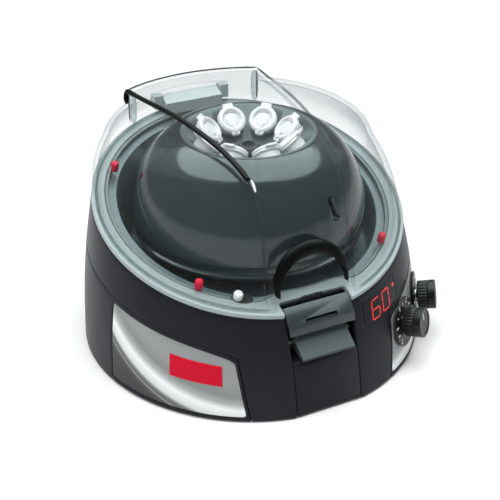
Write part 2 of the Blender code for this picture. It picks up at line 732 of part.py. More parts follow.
def build_grip():
    """An arched finger grip that stands proud of the lid's front face."""
    foot = Vector((0, *BAND_PROFILE[-1]))
    up = (Vector((0, *BAND_PROFILE[-2])) - foot).normalized()
    base = foot + up * 0.0022
    normal = Vector((0, -up.z, up.y))
    front = []
    back = []
    for step in range(GRIP_STEPS + 1):
        angle = pi * step / GRIP_STEPS
        thick = 0.0010 + 0.0048 * sin(angle)
        outer = 0.0168 + 0.0046 * sin(angle)
        spoke = Vector((cos(angle), 0, 0)) + up * sin(angle)
        seat = [base + normal * GAP + spoke * (outer - thick * share) for share in (1.0, 0.5, 0.0)]
        front.append([point + normal * proud for point, proud in zip(seat, GRIP_PROUD)])
        back.append(seat)
    grip = slab("lid_grip", front, back, BLACK)
    grip.data.transform(Matrix.Translation(-HINGE_AXIS))
    grip.location = HINGE_AXIS


def build_hinge():
    axis_y, axis_z = HINGE_AXIS.y, HINGE_AXIS.z

    def arc(radius, start, end, steps=8):
        turns = [radians(start + (end - start) * step / steps) for step in range(steps + 1)]
        return [(axis_y + radius * cos(turn), axis_z + radius * sin(turn)) for turn in turns]

    def rim_z(y):
        return RIM_Z + (y - RIM_Y) * math.tan(RIM_TILT) + 0.0004

    block = [(0.0600, rim_z(0.0600)), (0.0664, rim_z(0.0664))] + arc(0.0030, -70, 95) + [(0.0600, 0.0900)]
    body = extruded("hinge_block", block, 0.0146, RIM_GREY)
    reamer = rod(HINGE_PIN + 0.0001, -0.03, 0.03)
    bore = turned("hinge_bore", reamer, None, 20, HINGE_AXIS, (1, 0, 0), cutter=True)
    cut(body, bore)
    turned("hinge_pin", rod(HINGE_PIN, -0.0196, 0.0196), STEEL, 20, HINGE_AXIS, (1, 0, 0))
    lug = [(0.0628, 0.0868)] + arc(0.0028, -95, 60) + [(0.0672, 0.0934), (0.0628, 0.0934)]
    for side, name in ((-1, "lid_hinge_left"), (1, "lid_hinge_right")):
        piece = extruded(name, lug, 0.0022, RIM_GREY, HINGE_AXIS)
        piece.data.transform(Matrix.Translation((side * 0.0172, 0, 0)))
        cut(piece, bore)


def build_rotor():
    shaft = [
        (0, 0.0880), (SHAFT_RADIUS, 0.0880), (SHAFT_RADIUS, 0.0480), (COLLAR_RADIUS, 0.0470),
        (COLLAR_RADIUS, 0.0396), (SHAFT_RADIUS, 0.0390), (SHAFT_RADIUS, 0.0300), (0, 0.0300),
    ]
    turned("drive_shaft", shaft, STEEL, 20)
    bore = SHAFT_RADIUS + GAP
    dome_points = []
    for turn in (14, 26, 38, 50, 62, 75, 90):
        share = radians(turn)
        dome_points.append((0.0303 + 0.0225 * sin(share) ** 1.25, 0.0608 + 0.0372 * cos(share)))
    profile = (
        [(bore, 0.0840), (0.0140, 0.0840), (0.0283, 0.0978), (0.0303, 0.0980)]
        + dome_points
        + [(0.0528, 0.0585), (0.0508, 0.0575), (0.0508, 0.0542), (0.0522, 0.0534), (0.0517, 0.0518),
           (0.0480, 0.0518), (0.0465, 0.0550), (0.0465, 0.0600), (0.0300, 0.0600), (0.0280, 0.0480),
           (bore, 0.0480)]
    )
    rotor = turned("rotor", profile, SLATE, ROTOR_STEPS, ring=True)
    for place_number in range(TUBES):
        azimuth = TUBE_PHASE + 2 * pi * place_number / TUBES
        out = outward(azimuth)
        seat = out * CAP_CENTRE_R + Vector((0, 0, CAP_CENTRE_Z))
        axis = out * -sin(TUBE_TILT) + Vector((0, 0, cos(TUBE_TILT)))
        reamer = rod(TUBE_HOLE, -0.0400, 0.0060)
        cut(rotor, turned("hole_%d" % place_number, reamer, None, 12, seat, axis, cutter=True))
        tube = [
            (0, 0.0010), (CAP_RADIUS - 0.0007, 0.0010), (CAP_RADIUS, 0.0003), (CAP_RADIUS, -0.0012),
            (CAP_RADIUS - 0.0005, -0.0018), (0.0054, -0.0018), (0.0052, -0.0200), (0.0020, -0.0360),
            (0, -0.0370),
        ]
        turned("microtube_%d" % (place_number + 1), tube, WHITE, 12, seat, axis)
    slot_spot = outward(SLOT_AZIMUTH) * 0.0500 + Vector((0, 0, 0.0755))
    slot = box(
        "dome_slot", (0.0024, 0.0040, 0.0120), slot_spot, None, SLOT_AZIMUTH, SLOT_LEAN, cutter=True
    )
    cut(rotor, slot)
    nut = [(bore, 0.0910), (0.0048, 0.0910), (0.0060, 0.0895), (0.0064, 0.0843), (bore, 0.0843)]
    turned("rotor_nut", nut, BLACK, 20, ring=True)


lower_housing, upper_housing = build_housing()
side_plates = build_plates(lower_housing)
build_display(upper_housing)
build_controls(lower_housing, side_plates["control_plate"])
build_rim_and_bowl()
build_base()
build_front()
build_back(lower_housing)
build_lid()
build_rotor()
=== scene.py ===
"""Looks of a personal mini centrifuge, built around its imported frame.

Shapes are worked out about the rotor's vertical axis and moved onto it when they are finished.
The front, with the latch, looks along -Y, and azimuths are measured from the front towards +X.
"""

import math
from math import cos, pi, radians, sin

import bmesh
import bpy
import numpy as np
from mathutils import Matrix, Vector
from mathutils.geometry import delaunay_2d_cdt


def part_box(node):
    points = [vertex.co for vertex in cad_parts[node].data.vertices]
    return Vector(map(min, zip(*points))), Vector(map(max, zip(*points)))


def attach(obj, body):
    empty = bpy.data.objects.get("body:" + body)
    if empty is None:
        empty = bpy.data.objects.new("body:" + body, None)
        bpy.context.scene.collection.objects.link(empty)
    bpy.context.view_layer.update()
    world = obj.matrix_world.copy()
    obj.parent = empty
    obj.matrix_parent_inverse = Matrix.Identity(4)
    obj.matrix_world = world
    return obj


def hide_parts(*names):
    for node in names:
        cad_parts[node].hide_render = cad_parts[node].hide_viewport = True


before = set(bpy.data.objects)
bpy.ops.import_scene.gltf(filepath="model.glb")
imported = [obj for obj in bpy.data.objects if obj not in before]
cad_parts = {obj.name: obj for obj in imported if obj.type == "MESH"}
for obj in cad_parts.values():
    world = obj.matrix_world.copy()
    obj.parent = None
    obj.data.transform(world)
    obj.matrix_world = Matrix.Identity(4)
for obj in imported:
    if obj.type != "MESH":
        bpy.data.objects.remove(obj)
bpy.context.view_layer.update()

SHAFT_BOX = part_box("drive_shaft")
AXIS = Vector(((SHAFT_BOX[0].x + SHAFT_BOX[1].x) / 2, (SHAFT_BOX[0].y + SHAFT_BOX[1].y) / 2, 0))

# Housing: a base circle lofted to a rim circle that leans forward.
BASE_RADIUS = 0.07894
BASE_Y = -0.0022
BASE_Z = 0.0008
RIM_RADIUS = 0.0710
RIM_Y = -0.0010
RIM_Z = 0.0654
RIM_TILT = radians(17)
RIM_SEAT = 0.0023
SWELL = 0.0015
WALL = 0.0024
SEAM_RISE = 0.715
SEAM_GAP = 0.006
APRON_FOOT = radians(25.8)
APRON_SPREAD = radians(5.2)
APRON_GAP = 0.004
CHANNEL = 0.0157
NOTCH_Y = -0.0604

FULL = 2 * pi

# The unrolled wall's scales: metres to a radian and to the whole rise.
ROLL = 0.0765
RISE = 0.0620

# Side plates, badge, display and dials.
PLATE_BACK = radians(76.5)
PLATE_MARGIN = radians(1.2)
PLATE_CORNER = 0.0042
PLATE_DROP = 0.045
PLATE_FOOT = 0.040
PLATE_DEPTH = 0.0012
BADGE_SPAN = (radians(-51.5), radians(-34.2))
BADGE_RISE = (0.345, 0.535)
WINDOW_SPAN = (radians(16.8), radians(36.0))
WINDOW_RISE = (0.700, 0.935)
DIGIT_RISE = (0.705, 0.880)
DIGIT_WIDTH = radians(4.0)
DIGIT_SLANT = radians(0.9)
DIGIT_BARS = {
    "a": ("tl", "tr"), "b": ("tr", "mr"), "c": ("mr", "br"), "d": ("bl", "br"), "e": ("ml", "bl"),
    "f": ("tl", "ml"), "g": ("ml", "mr"),
}
BAR_HALF = 0.00042
BAR_GAP = 0.00015
KNOB_AZIMUTHS = {"speed": radians(37.8), "timer": radians(55.0)}
KNOB_Z = 0.0200
KNOB_RADIUS = 0.0067
KNOB_END = 0.0100
KNOB_HOLE = 0.0035
KNOB_RIBS = 30
DIAL_RADIUS = 0.0112
FITTING_DEPTH = 0.018

# Rim ring and chamber.
LEDGE_RADIUS = 0.0646
RING_INNER = 0.0630
RING_SHIFT = 0.0012
RING_TONGUE = 0.0045
RING_TONGUE_SPREAD = radians(20)
LEDGE_TONGUE_SPREAD = radians(19)
BOWL_EDGE = 0.0590
BOWL_RADIUS = 0.0556
BOWL_FLOOR_Z = 0.0415
BOWL_WALL = 0.0016
SHAFT_HOLE = 0.0090
PIN_R = 0.0623
PIN_AZIMUTHS = (radians(-45), radians(45), radians(123), radians(-123))
PLUNGER_AZIMUTH = radians(-29.5)
PLUNGER_TOP = 0.0031

# Lid.
LID_WALL = 0.0018
LID_FOOT = 0.0697
LID_BULGE = 0.0025
LID_FOOT_LIFT = 0.0003
SHOULDER_RADIUS = 0.0600
SHOULDER_Y = 0.0110
SHOULDER_Z = 0.0920
DOME_TOP = 0.1030
DOME_POWER = 2.6
BAND_WIDTH = 0.0266
BAND_TAPER = 0.1256
BAND_CREST = 0.1053
BAND_PROFILE = [
    (0.0780, 0.0925), (0.0780, 0.0997), (0.0590, 0.1014), (0.0440, 0.1026), (0.0175, 0.1049),
    (0.0000, 0.1053), (-0.0190, 0.1044), (-0.0315, 0.1024), (-0.0405, 0.0998), (-0.0452, 0.0968),
    (-0.0482, 0.0920), (-0.0518, 0.0825), (-0.0558, 0.0700), (-0.0602, 0.0479),
]
BAND_STEPS = 3
BAND_FRONT_POINTS = 8
BAND_CLEAR_Z = 0.1150
HINGE_NOTCH = 0.0200
CORNER_HEIGHTS = (0.0845, 0.0860, 0.0900, 0.0940, 0.0980)

# Drive and rotor.
SHAFT_RADIUS = 0.0025
TUBES = 8
TUBE_TILT = radians(45)
TUBE_PHASE = radians(-1.5)
CAP_CENTRE_R = 0.0182
CAP_CENTRE_Z = 0.0955
TUBE_HOLE = 0.0058
SLOT_AZIMUTH = radians(20)
SLOT_ROLL = radians(10)
WELL_EDGE = 0.0300
LATCH_AXIS = Vector((0, -0.0663, 0.0305))

# Meshing: how a sheet's edge is rounded, in shares of the rounding, and how wide a pocket's lip is.
ROUNDING_SHARES = (0.06, 0.25, 0.55, 1.0)
POCKET_LIP = 0.00006

# Studio: (azimuth, elevation, distance, size, power) of each light, in degrees, metres and watts.
LIGHTS = {
    "key": (-80, 32, 1.1, (0.6, 0.6), 3.5),
    "fill": (60, 30, 1.1, (0.6, 0.4), 1.2),
    "top": (0, 89, 1.3, (1.4, 1.4), 24.0),
    "gloss_only": (154, 77, 1.3, (3.0, 2.0), 76.0),
}
COOL_LIGHT = (0.84, 1.0, 0.98)
WHITE_LIGHT = (1.0, 1.0, 1.0)


# ---- materials ------------------------------------------------------------------------------------


class Nodes:
    """A material's node tree, with short ways to add and link nodes."""

    def __init__(self, name):
        self.made = bpy.data.materials.new(name)
        self.made.use_nodes = True
        self.tree = self.made.node_tree
        self.shader = self.tree.nodes["Principled BSDF"]
        self.output = self.tree.nodes["Material Output"]
        self.place = self.add("ShaderNodeTexCoord").outputs["Object"]

    def add(self, kind, **settings):
        node = self.tree.nodes.new(kind)
        for name, value in settings.items():
            setattr(node, name, value)
        return node

    def link(self, source, target):
        self.tree.links.new(source, target)

    def noise(self, scale, detail=3.0, stretch=(1, 1, 1), place=None):
        mapping = self.add("ShaderNodeMapping")
        mapping.inputs["Scale"].default_value = stretch
        self.link(place or self.place, mapping.inputs["Vector"])
        noise = self.add("ShaderNodeTexNoise")
        noise.inputs["Scale"].default_value = scale
        noise.inputs["Detail"].default_value = detail
        self.link(mapping.outputs["Vector"], noise.inputs["Vector"])
        return noise.outputs["Fac"]

    def spread(self, value, low, high, start=0.3, end=0.7):
        ramp = self.add("ShaderNodeMapRange")
        ramp.inputs["From Min"].default_value = start
        ramp.inputs["From Max"].default_value = end
        ramp.inputs["To Min"].default_value = low
        ramp.inputs["To Max"].default_value = high
        self.link(value, ramp.inputs["Value"])
        return ramp.outputs["Result"]

    def blend(self, value, first, second):
        mix = self.add("ShaderNodeMix", data_type="RGBA")
        self.link(value, mix.inputs["Factor"])
        for socket, colour in ((mix.inputs["A"], first), (mix.inputs["B"], second)):
            if isinstance(colour, tuple):
                socket.default_value = (*colour, 1)
            else:
                self.link(colour, socket)
        return mix.outputs["Result"]

    def bump(self, value, depth):
        node = self.add("ShaderNodeBump")
        node.inputs["Strength"].default_value = 1.0
        node.inputs["Distance"].default_value = depth
        self.link(value, node.inputs["Height"])
        return node.outputs["Normal"]

    def math(self, kind, *values):
        """A sum, power or other operation of sources and plain numbers."""
        node = self.add("ShaderNodeMath", operation=kind)
        for socket, value in zip(node.inputs, values):
            if isinstance(value, float):
                socket.default_value = value
            else:
                self.link(value, socket)
        return node.outputs["Value"]

    def wire(self, **sources):
        """Links a source to each named input of the shader."""
        for name, source in sources.items():
            self.link(source, self.shader.inputs[name.replace("_", " ")])

    def set(self, **values):
        for name, value in values.items():
            self.shader.inputs[name.replace("_", " ")].default_value = value


def shade(colour, by):
    return tuple(min(1.0, part * by) for part in colour)


def moulded(name, colour, roughness, grain=900, depth=0.00002, specular=0.4, mottle=0.12):
    """Moulded plastic: a fine eroded grain, cloudy tone and uneven gloss."""
    nodes = Nodes(name)
    cloud = nodes.noise(38, 4)
    fine = nodes.noise(grain, 2)
    tone = nodes.blend(nodes.spread(cloud, 0, 1), shade(colour, 1 - mottle), shade(colour, 1 + mottle))
    gloss = nodes.spread(cloud, roughness * 0.88, roughness * 1.12)
    nodes.wire(Base_Color=tone, Roughness=gloss, Normal=nodes.bump(fine, depth))
    nodes.set(Specular_IOR_Level=specular)
    return nodes.made


def metal(name, colour, roughness):
    """Bare metal with drawn lines."""
    nodes = Nodes(name)
    lines = nodes.noise(420, 3, (1, 1, 14))
    tone = nodes.blend(nodes.spread(lines, 0, 1), shade(colour, 0.82), shade(colour, 1.1))
    gloss = nodes.spread(lines, roughness * 0.75, roughness * 1.35)
    nodes.wire(Base_Color=tone, Roughness=gloss, Normal=nodes.bump(lines, 0.00002))
    nodes.set(Metallic=1.0)
    return nodes.made


def rubber(name, colour):
    """Matt rubber with a pebbled skin."""
    nodes = Nodes(name)
    speckle = nodes.noise(1400, 2)
    cloud = nodes.noise(60, 3)
    tone = nodes.blend(cloud, shade(colour, 0.8), shade(colour, 1.2))
    nodes.wire(Base_Color=tone, Roughness=nodes.spread(cloud, 0.6, 0.8), Normal=nodes.bump(speckle, 0.00005))
    nodes.set(Specular_IOR_Level=0.3)
    return nodes.made


def brushed_plate(name):
    """Brushed foil with a printed bright sweep, on coordinates that run along the plate and up it."""
    nodes = Nodes(name)
    flat = nodes.add("ShaderNodeUVMap", uv_map="surface").outputs["UV"]
    lines = nodes.noise(9, 4, (1.2, 60, 1), flat)
    split = nodes.add("ShaderNodeSeparateXYZ")
    nodes.link(flat, split.inputs["Vector"])
    # The sweep's middle line falls from the far top corner to the near bottom corner.
    middle = nodes.math("MULTIPLY", nodes.math("POWER", split.outputs["X"], 1.8), 0.70)
    height = nodes.math("SUBTRACT", split.outputs["Y"], middle)
    ramp = nodes.add("ShaderNodeValToRGB")
    nodes.link(nodes.math("ADD", height, 0.5), ramp.inputs["Fac"])
    stops = (
        (0.00, 0.05), (0.20, 0.06), (0.300, 0.09), (0.325, 0.34), (0.345, 0.12), (0.40, 0.18), (0.455, 0.70),
        (0.60, 0.92), (0.70, 0.44), (0.82, 0.26), (1.0, 0.32),
    )
    elements = ramp.color_ramp.elements
    while len(elements) < len(stops):
        elements.new(0.5)
    for element, (where, tone) in zip(elements, stops):
        element.position = where
        element.color = (tone * 0.95, tone, tone * 0.99, 1)
    dark = nodes.blend(nodes.spread(lines, 0, 1), (0.84, 0.84, 0.84), (1.0, 1.0, 1.0))
    mix = nodes.add("ShaderNodeMix", data_type="RGBA", blend_type="MULTIPLY")
    mix.inputs["Factor"].default_value = 1.0
    nodes.link(ramp.outputs["Color"], mix.inputs["A"])
    nodes.link(dark, mix.inputs["B"])
    gloss = nodes.spread(lines, 0.30, 0.46)
    nodes.wire(Base_Color=mix.outputs["Result"], Roughness=gloss, Normal=nodes.bump(lines, 0.000006))
    nodes.set(Metallic=0.30, Anisotropic=0.4, Specular_IOR_Level=0.2)
    return nodes.made


def rotor_finish(name, colour, well):
    """A glossy moulded finish that is paler and duller in the well, inside the crown's edge."""
    nodes = Nodes(name)
    cloud = nodes.noise(38, 3)
    fine = nodes.noise(1200, 2)
    flat = nodes.add("ShaderNodeVectorMath", operation="MULTIPLY_ADD")
    flat.inputs[1].default_value = (1, 1, 0)
    flat.inputs[2].default_value = (-AXIS.x, -AXIS.y, 0)
    nodes.link(nodes.place, flat.inputs[0])
    reach = nodes.add("ShaderNodeVectorMath", operation="LENGTH")
    nodes.link(flat.outputs["Vector"], reach.inputs[0])
    edge = nodes.spread(reach.outputs["Value"], 0, 1, WELL_EDGE - 0.0004, WELL_EDGE + 0.0004)
    outer = nodes.blend(nodes.spread(cloud, 0, 1), shade(colour, 0.94), shade(colour, 1.06))
    tone = nodes.blend(edge, well, outer)
    gloss = nodes.spread(edge, 0.36, 0.12, 0, 1)
    nodes.wire(Base_Color=tone, Roughness=gloss, Normal=nodes.bump(fine, 0.0000015))
    nodes.set(Specular_IOR_Level=0.46)
    return nodes.made


def clear_plastic(name, tint, edge, body, rim=0.55):
    """Clear plastic, which darkens where it is seen edge on and shines like a polished sheet."""
    nodes = Nodes(name)
    facing = nodes.add("ShaderNodeLayerWeight")
    facing.inputs["Blend"].default_value = 0.5
    haze = nodes.noise(30, 2)
    steep = nodes.math("POWER", facing.outputs["Facing"], 3.0)
    clear = nodes.add("ShaderNodeBsdfTransparent")
    nodes.link(nodes.blend(steep, tint, edge), clear.inputs["Color"])
    amount = nodes.math("MULTIPLY_ADD", steep, rim, nodes.spread(haze, body * 0.85, body * 1.15))
    mix = nodes.add("ShaderNodeMixShader")
    nodes.link(amount, mix.inputs["Fac"])
    nodes.link(clear.outputs["BSDF"], mix.inputs[1])
    nodes.link(nodes.shader.outputs["BSDF"], mix.inputs[2])
    tone = nodes.blend(haze, shade(tint, 0.22), shade(tint, 0.26))
    nodes.wire(Base_Color=tone, Roughness=nodes.spread(haze, 0.035, 0.070))
    nodes.link(mix.outputs["Shader"], nodes.output.inputs["Surface"])
    nodes.set(Specular_IOR_Level=1.0)
    return nodes.made


def glowing(name, colour, strength):
    """Lit display bars, slightly uneven."""
    nodes = Nodes(name)
    cloud = nodes.noise(700, 2)
    tone = nodes.blend(nodes.spread(cloud, 0, 1), shade(colour, 0.8), colour)
    nodes.wire(Base_Color=tone, Emission_Color=tone)
    nodes.set(Emission_Strength=strength, Roughness=0.35)
    return nodes.made


def circuit(name):
    """A solder mask with faint square traces."""
    nodes = Nodes(name)
    cells = nodes.add("ShaderNodeTexVoronoi", distance="CHEBYCHEV")
    cells.inputs["Scale"].default_value = 320
    nodes.link(nodes.place, cells.inputs["Vector"])
    traces = cells.outputs["Distance"]
    tone = nodes.blend(nodes.spread(traces, 0, 1, 0.3, 0.45), (0.03, 0.22, 0.08), (0.015, 0.12, 0.04))
    nodes.wire(Base_Color=tone, Normal=nodes.bump(traces, 0.00003))
    nodes.set(Roughness=0.4)
    return nodes.made


CHARCOAL = moulded("charcoal_shell", (0.0095, 0.0110, 0.0145), 0.40, specular=0.16)
APRON = moulded("front_panel", (0.0085, 0.0100, 0.0135), 0.36, specular=0.16)
RIM_GREY = moulded("rim_grey", (0.31, 0.365, 0.37), 0.42, mottle=0.04)
LEDGE_GREY = moulded("ledge_grey", (0.125, 0.155, 0.158), 0.40, mottle=0.04)
SLATE = moulded("slate", (0.028, 0.038, 0.041), 0.22, grain=1200, depth=0.000002, mottle=0.04)
ROTOR_SLATE = rotor_finish("rotor_slate", (0.023, 0.035, 0.038), (0.115, 0.148, 0.150))
CHAMBER = moulded("chamber_slate", (0.092, 0.132, 0.139), 0.28, depth=0.000004, mottle=0.04)
BLACK = moulded("black_moulding", (0.005, 0.005, 0.006), 0.38, specular=0.25)
LATCH_GREY = moulded("latch_grey", (0.034, 0.046, 0.049), 0.34, depth=0.000006, specular=0.24)
HINGE_GREY = moulded("hinge_grey", (0.56, 0.63, 0.64), 0.40, mottle=0.04)
# Glossy black, for the finger grip, and also for the painted dark strip on the lid.
GLOSS_BLACK = moulded("gloss_black", (0.003, 0.003, 0.0035), 0.34, depth=0.000002, specular=0.10)
PLATE = brushed_plate("brushed_plate")
RED = moulded("badge_red", (0.56, 0.002, 0.022), 0.42, depth=0.000003, specular=0.12, mottle=0.04)
RED_RUBBER = moulded("bumper_red", (0.66, 0.004, 0.040), 0.45, specular=0.2)
WHITE = moulded("polypropylene", (0.86, 0.87, 0.88), 0.38, depth=0.00001, mottle=0.03)
PRINT = moulded("dial_print", (0.82, 0.83, 0.83), 0.5, mottle=0.05)
CLEAR = clear_plastic("clear_lid", (0.988, 0.992, 0.992), (0.66, 0.70, 0.70), body=0.015, rim=0.22)
# Painted dark reflection: a dark-tinted clear plastic for the lines that stand in for the dark reflections
# along the lid's edges.
PAINTED_DARK_EDGE = clear_plastic("clear_painted_dark_edge", (0.20, 0.23, 0.23), (0.04, 0.05, 0.05), body=0.10)
EDGE = clear_plastic("clear_edge", (0.78, 0.83, 0.83), (0.10, 0.13, 0.13), body=0.06)
SMOKED = moulded("smoked_window", (0.0085, 0.0100, 0.0135), 0.34, depth=0.000004, specular=0.16)
RUBBER = rubber("black_rubber", (0.018, 0.018, 0.018))
STEEL = metal("steel", (0.58, 0.59, 0.60), 0.30)
GLOW = glowing("display_red", (0.50, 0.006, 0.008), 0.55)
BOARD = circuit("circuit_board")


# ---- the wall, the rim and the lid as surfaces -----------------------------------------------------


def outward(azimuth):
    return Vector((sin(azimuth), -cos(azimuth), 0))


def rim_point(azimuth, radius, height=0.0, shift=0.0):
    """A point by its radius and height over the leaning rim circle; shift slides it to the back."""
    along = shift - radius * cos(azimuth)
    return rim_place(radius * sin(azimuth), along, height)


def rim_place(x, along, height=0.0):
    """A point of the rim's plane by its distance across and along it."""
    y = RIM_Y + along * cos(RIM_TILT) - height * sin(RIM_TILT)
    z = RIM_Z + along * sin(RIM_TILT) + height * cos(RIM_TILT)
    return Vector((x, y, z))


RIM_NORMAL = Vector((0, -sin(RIM_TILT), cos(RIM_TILT)))


def wall_point(azimuth, rise, inset=0.0):
    """A point of the housing's wall: rise goes from 0 at the table to 1 under the rim ring."""
    foot = Vector((0, BASE_Y, BASE_Z)) + outward(azimuth) * (BASE_RADIUS - inset)
    top = rim_point(azimuth, RIM_RADIUS - inset, -RIM_SEAT)
    return foot.lerp(top, rise) + outward(azimuth) * SWELL * sin(pi * rise)


def wall_surface(u, v, inset):
    """The wall as a sheet: u and v are metres round it and up it, and inset goes into it."""
    return wall_point(u / ROLL, v / RISE, inset)


def seam(azimuth):
    """How high up the wall the seam between the two housings runs. It dips beside the front apron."""
    turn = abs((azimuth + pi) % (2 * pi) - pi)
    return SEAM_RISE - 0.095 * math.exp(-(turn - radians(29)) / radians(9)) - 0.05 * (turn / pi) ** 2


def apron(rise):
    """Half the angle of the front apron, which spreads towards its top."""
    return APRON_FOOT + APRON_SPREAD * rise


def ring_edge(azimuth):
    """The rim ring's inner radius, with a tongue behind the latch."""
    turn = (azimuth + pi) % (2 * pi) - pi
    return RING_INNER - RING_TONGUE * math.exp(-((turn / RING_TONGUE_SPREAD) ** 4))


def channel_azimuth(rise):
    """Where the side of the front channel meets the wall."""
    radius = BASE_RADIUS + (RIM_RADIUS - BASE_RADIUS) * rise + SWELL * sin(pi * rise)
    return math.asin(CHANNEL / radius)


def lid_width(inset):
    """Half the width of the lid's band, as a function of y."""
    return lambda y: BAND_WIDTH + BAND_TAPER * y - inset


def knob_frame(azimuth):
    """Where a knob's axis leaves the wall, which way it points, and how high up the wall it is."""
    rise = (KNOB_Z - BASE_Z) / (wall_point(azimuth, 1).z - BASE_Z)
    spot = wall_point(azimuth, rise)
    slope = wall_point(azimuth, rise + 0.05) - wall_point(azimuth, rise - 0.05)
    across = Vector((cos(azimuth), sin(azimuth), 0))
    return spot, across.cross(slope).normalized(), rise


# ---- mesh tools -----------------------------------------------------------------------------------


def linked(name, data):
    """A new object of this data, in the scene."""
    obj = bpy.data.objects.new(name, data)
    bpy.context.scene.collection.objects.link(obj)
    return obj


def mesh_object(name, points, faces, sharp=35.0, outside=True):
    """An object of these points and faces; outside also welds it and turns its faces outwards."""
    mesh = bpy.data.meshes.new(name)
    mesh.from_pydata([tuple(point) for point in points], [], faces)
    if outside:
        work = bmesh.new()
        work.from_mesh(mesh)
        bmesh.ops.remove_doubles(work, verts=work.verts, dist=1e-7)
        bmesh.ops.recalc_face_normals(work, faces=work.faces)
        if work.calc_volume(signed=True) < 0:
            bmesh.ops.reverse_faces(work, faces=work.faces)
        work.to_mesh(mesh)
        work.free()
    mesh.shade_smooth()
    mesh.set_sharp_from_angle(angle=radians(sharp))
    return linked(name, mesh)


def evaluated_mesh(obj):
    """A new mesh of the object as it is evaluated, with its modifiers or its text's outlines."""
    bpy.context.view_layer.update()
    graph = bpy.context.evaluated_depsgraph_get()
    return bpy.data.meshes.new_from_object(obj.evaluated_get(graph))


def baked(obj):
    """The object with its modifiers made part of its mesh."""
    mesh = evaluated_mesh(obj)
    obj.modifiers.clear()
    obj.data = mesh
    return obj


def boolean(obj, others, operation, sharp=35.0):
    """Joins or cuts closed meshes and removes the tools."""
    for other in others:
        step = obj.modifiers.new(other.name, "BOOLEAN")
        step.operation = operation
        step.object = other
        step.solver = "EXACT"
    baked(obj)
    for other in others:
        bpy.data.objects.remove(other, do_unlink=True)
    obj.data.shade_smooth()
    obj.data.set_sharp_from_angle(angle=radians(sharp))
    return obj


def cut(obj, *others, sharp=35.0):
    return boolean(obj, others, "DIFFERENCE", sharp)


def join(obj, *others, sharp=35.0):
    return boolean(obj, others, "UNION", sharp)


def rounded(obj, width, segments=3, angle=30.0):
    """Rounds the sharp edges of a simple mesh."""
    bevel = obj.modifiers.new("rounding", "BEVEL")
    bevel.width = width
    bevel.segments = segments
    bevel.limit_method = "ANGLE"
    bevel.angle_limit = radians(angle)
    bevel.harden_normals = True
    return baked(obj)


def finished(obj, finish, body, slot, *nodes):
    """Puts a piece on the rotor's axis, gives it its material and says what it rides on and stands for."""
    obj.data.materials.clear()
    obj.data.materials.append(finish)
    obj.data.transform(obj.matrix_basis)
    obj.matrix_basis = Matrix.Identity(4)
    obj.data.transform(Matrix.Translation(AXIS))
    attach(obj, body)
    if nodes:
        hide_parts(*nodes)
    return obj


def area_of(loop):
    """The area in a loop, negative when the loop runs clockwise."""
    return sum(a[0] * b[1] - b[0] * a[1] for a, b in zip(loop, loop[1:] + loop[:1])) / 2


def turned_way(loop, left):
    """The loop with the material on its left, as an outline, or on its right turned round, as a hole."""
    return loop if (area_of(loop) > 0) == left else loop[::-1]


def shifted(loop, distance):
    """Each corner of a loop moved to the loop's left."""
    moved = []
    count = len(loop)
    for index, point in enumerate(loop):
        before = Vector(point) - Vector(loop[index - 1])
        after = Vector(loop[(index + 1) % count]) - Vector(point)
        first = Vector((-before.y, before.x)).normalized()
        second = Vector((-after.y, after.x)).normalized()
        middle = first + second
        if middle.length < 1e-6:
            middle = first
        middle.normalize()
        reach = distance / max(0.6, middle.dot(first))
        moved.append((point[0] + middle.x * reach, point[1] + middle.y * reach))
    return moved


def even(loop, step):
    """The loop with its long sides divided."""
    made = []
    for a, b in zip(loop, loop[1:] + loop[:1]):
        parts = max(1, math.ceil(math.dist(a, b) / step))
        made += [(a[0] + (b[0] - a[0]) * k / parts, a[1] + (b[1] - a[1]) * k / parts) for k in range(parts)]
    return made


def softened(loop, radius):
    """The loop with its sharp corners rounded."""
    steps = 5
    made = []
    count = len(loop)
    for index, point in enumerate(loop):
        corner = Vector(point)
        before = Vector(loop[index - 1]) - corner
        after = Vector(loop[(index + 1) % count]) - corner
        turn = before.angle(after) if before.length and after.length else pi
        if turn > radians(155):
            made.append(point)
            continue
        reach = min(radius / math.tan(turn / 2), before.length * 0.45, after.length * 0.45)
        start = corner + before.normalized() * reach
        end = corner + after.normalized() * reach
        for step in range(steps + 1):
            share = step / steps
            bend = start.lerp(corner, share).lerp(corner.lerp(end, share), share)
            made.append((bend.x, bend.y))
    return made


def loop_distance(points, loops):
    """How far each point is from the nearest side of the loops."""
    best = np.full(len(points), 1e9)
    for loop in loops:
        start = np.array(loop)
        side = np.roll(start, -1, axis=0) - start
        length = np.maximum((side ** 2).sum(1), 1e-18)
        for begin in range(0, len(points), 2000):
            part = points[begin:begin + 2000]
            gap = part[:, None, :] - start[None]
            share = np.clip((gap * side[None]).sum(2) / length, 0, 1)
            away = gap - share[..., None] * side[None]
            nearest = np.sqrt((away ** 2).sum(2)).min(1)
            best[begin:begin + 2000] = np.minimum(best[begin:begin + 2000], nearest)
    return best


def inside(points, loop):
    """Which points lie in a loop."""
    found = np.zeros(len(points), bool)
    x, y = points[:, 0], points[:, 1]
    for (ax, ay), (bx, by) in zip(loop, loop[1:] + loop[:1]):
        if ay == by:
            continue
        crosses = ((ay > y) != (by > y)) & (x < (bx - ax) * (y - ay) / (by - ay) + ax)
        found ^= crosses
    return found


def circle(radius, steps, centre=(0.0, 0.0)):
    turns = [2 * pi * step / steps for step in range(steps)]
    return [(centre[0] + radius * cos(turn), centre[1] + radius * sin(turn)) for turn in turns]


def rectangle(low, high):
    return [(low[0], low[1]), (high[0], low[1]), (high[0], high[1]), (low[0], high[1])]


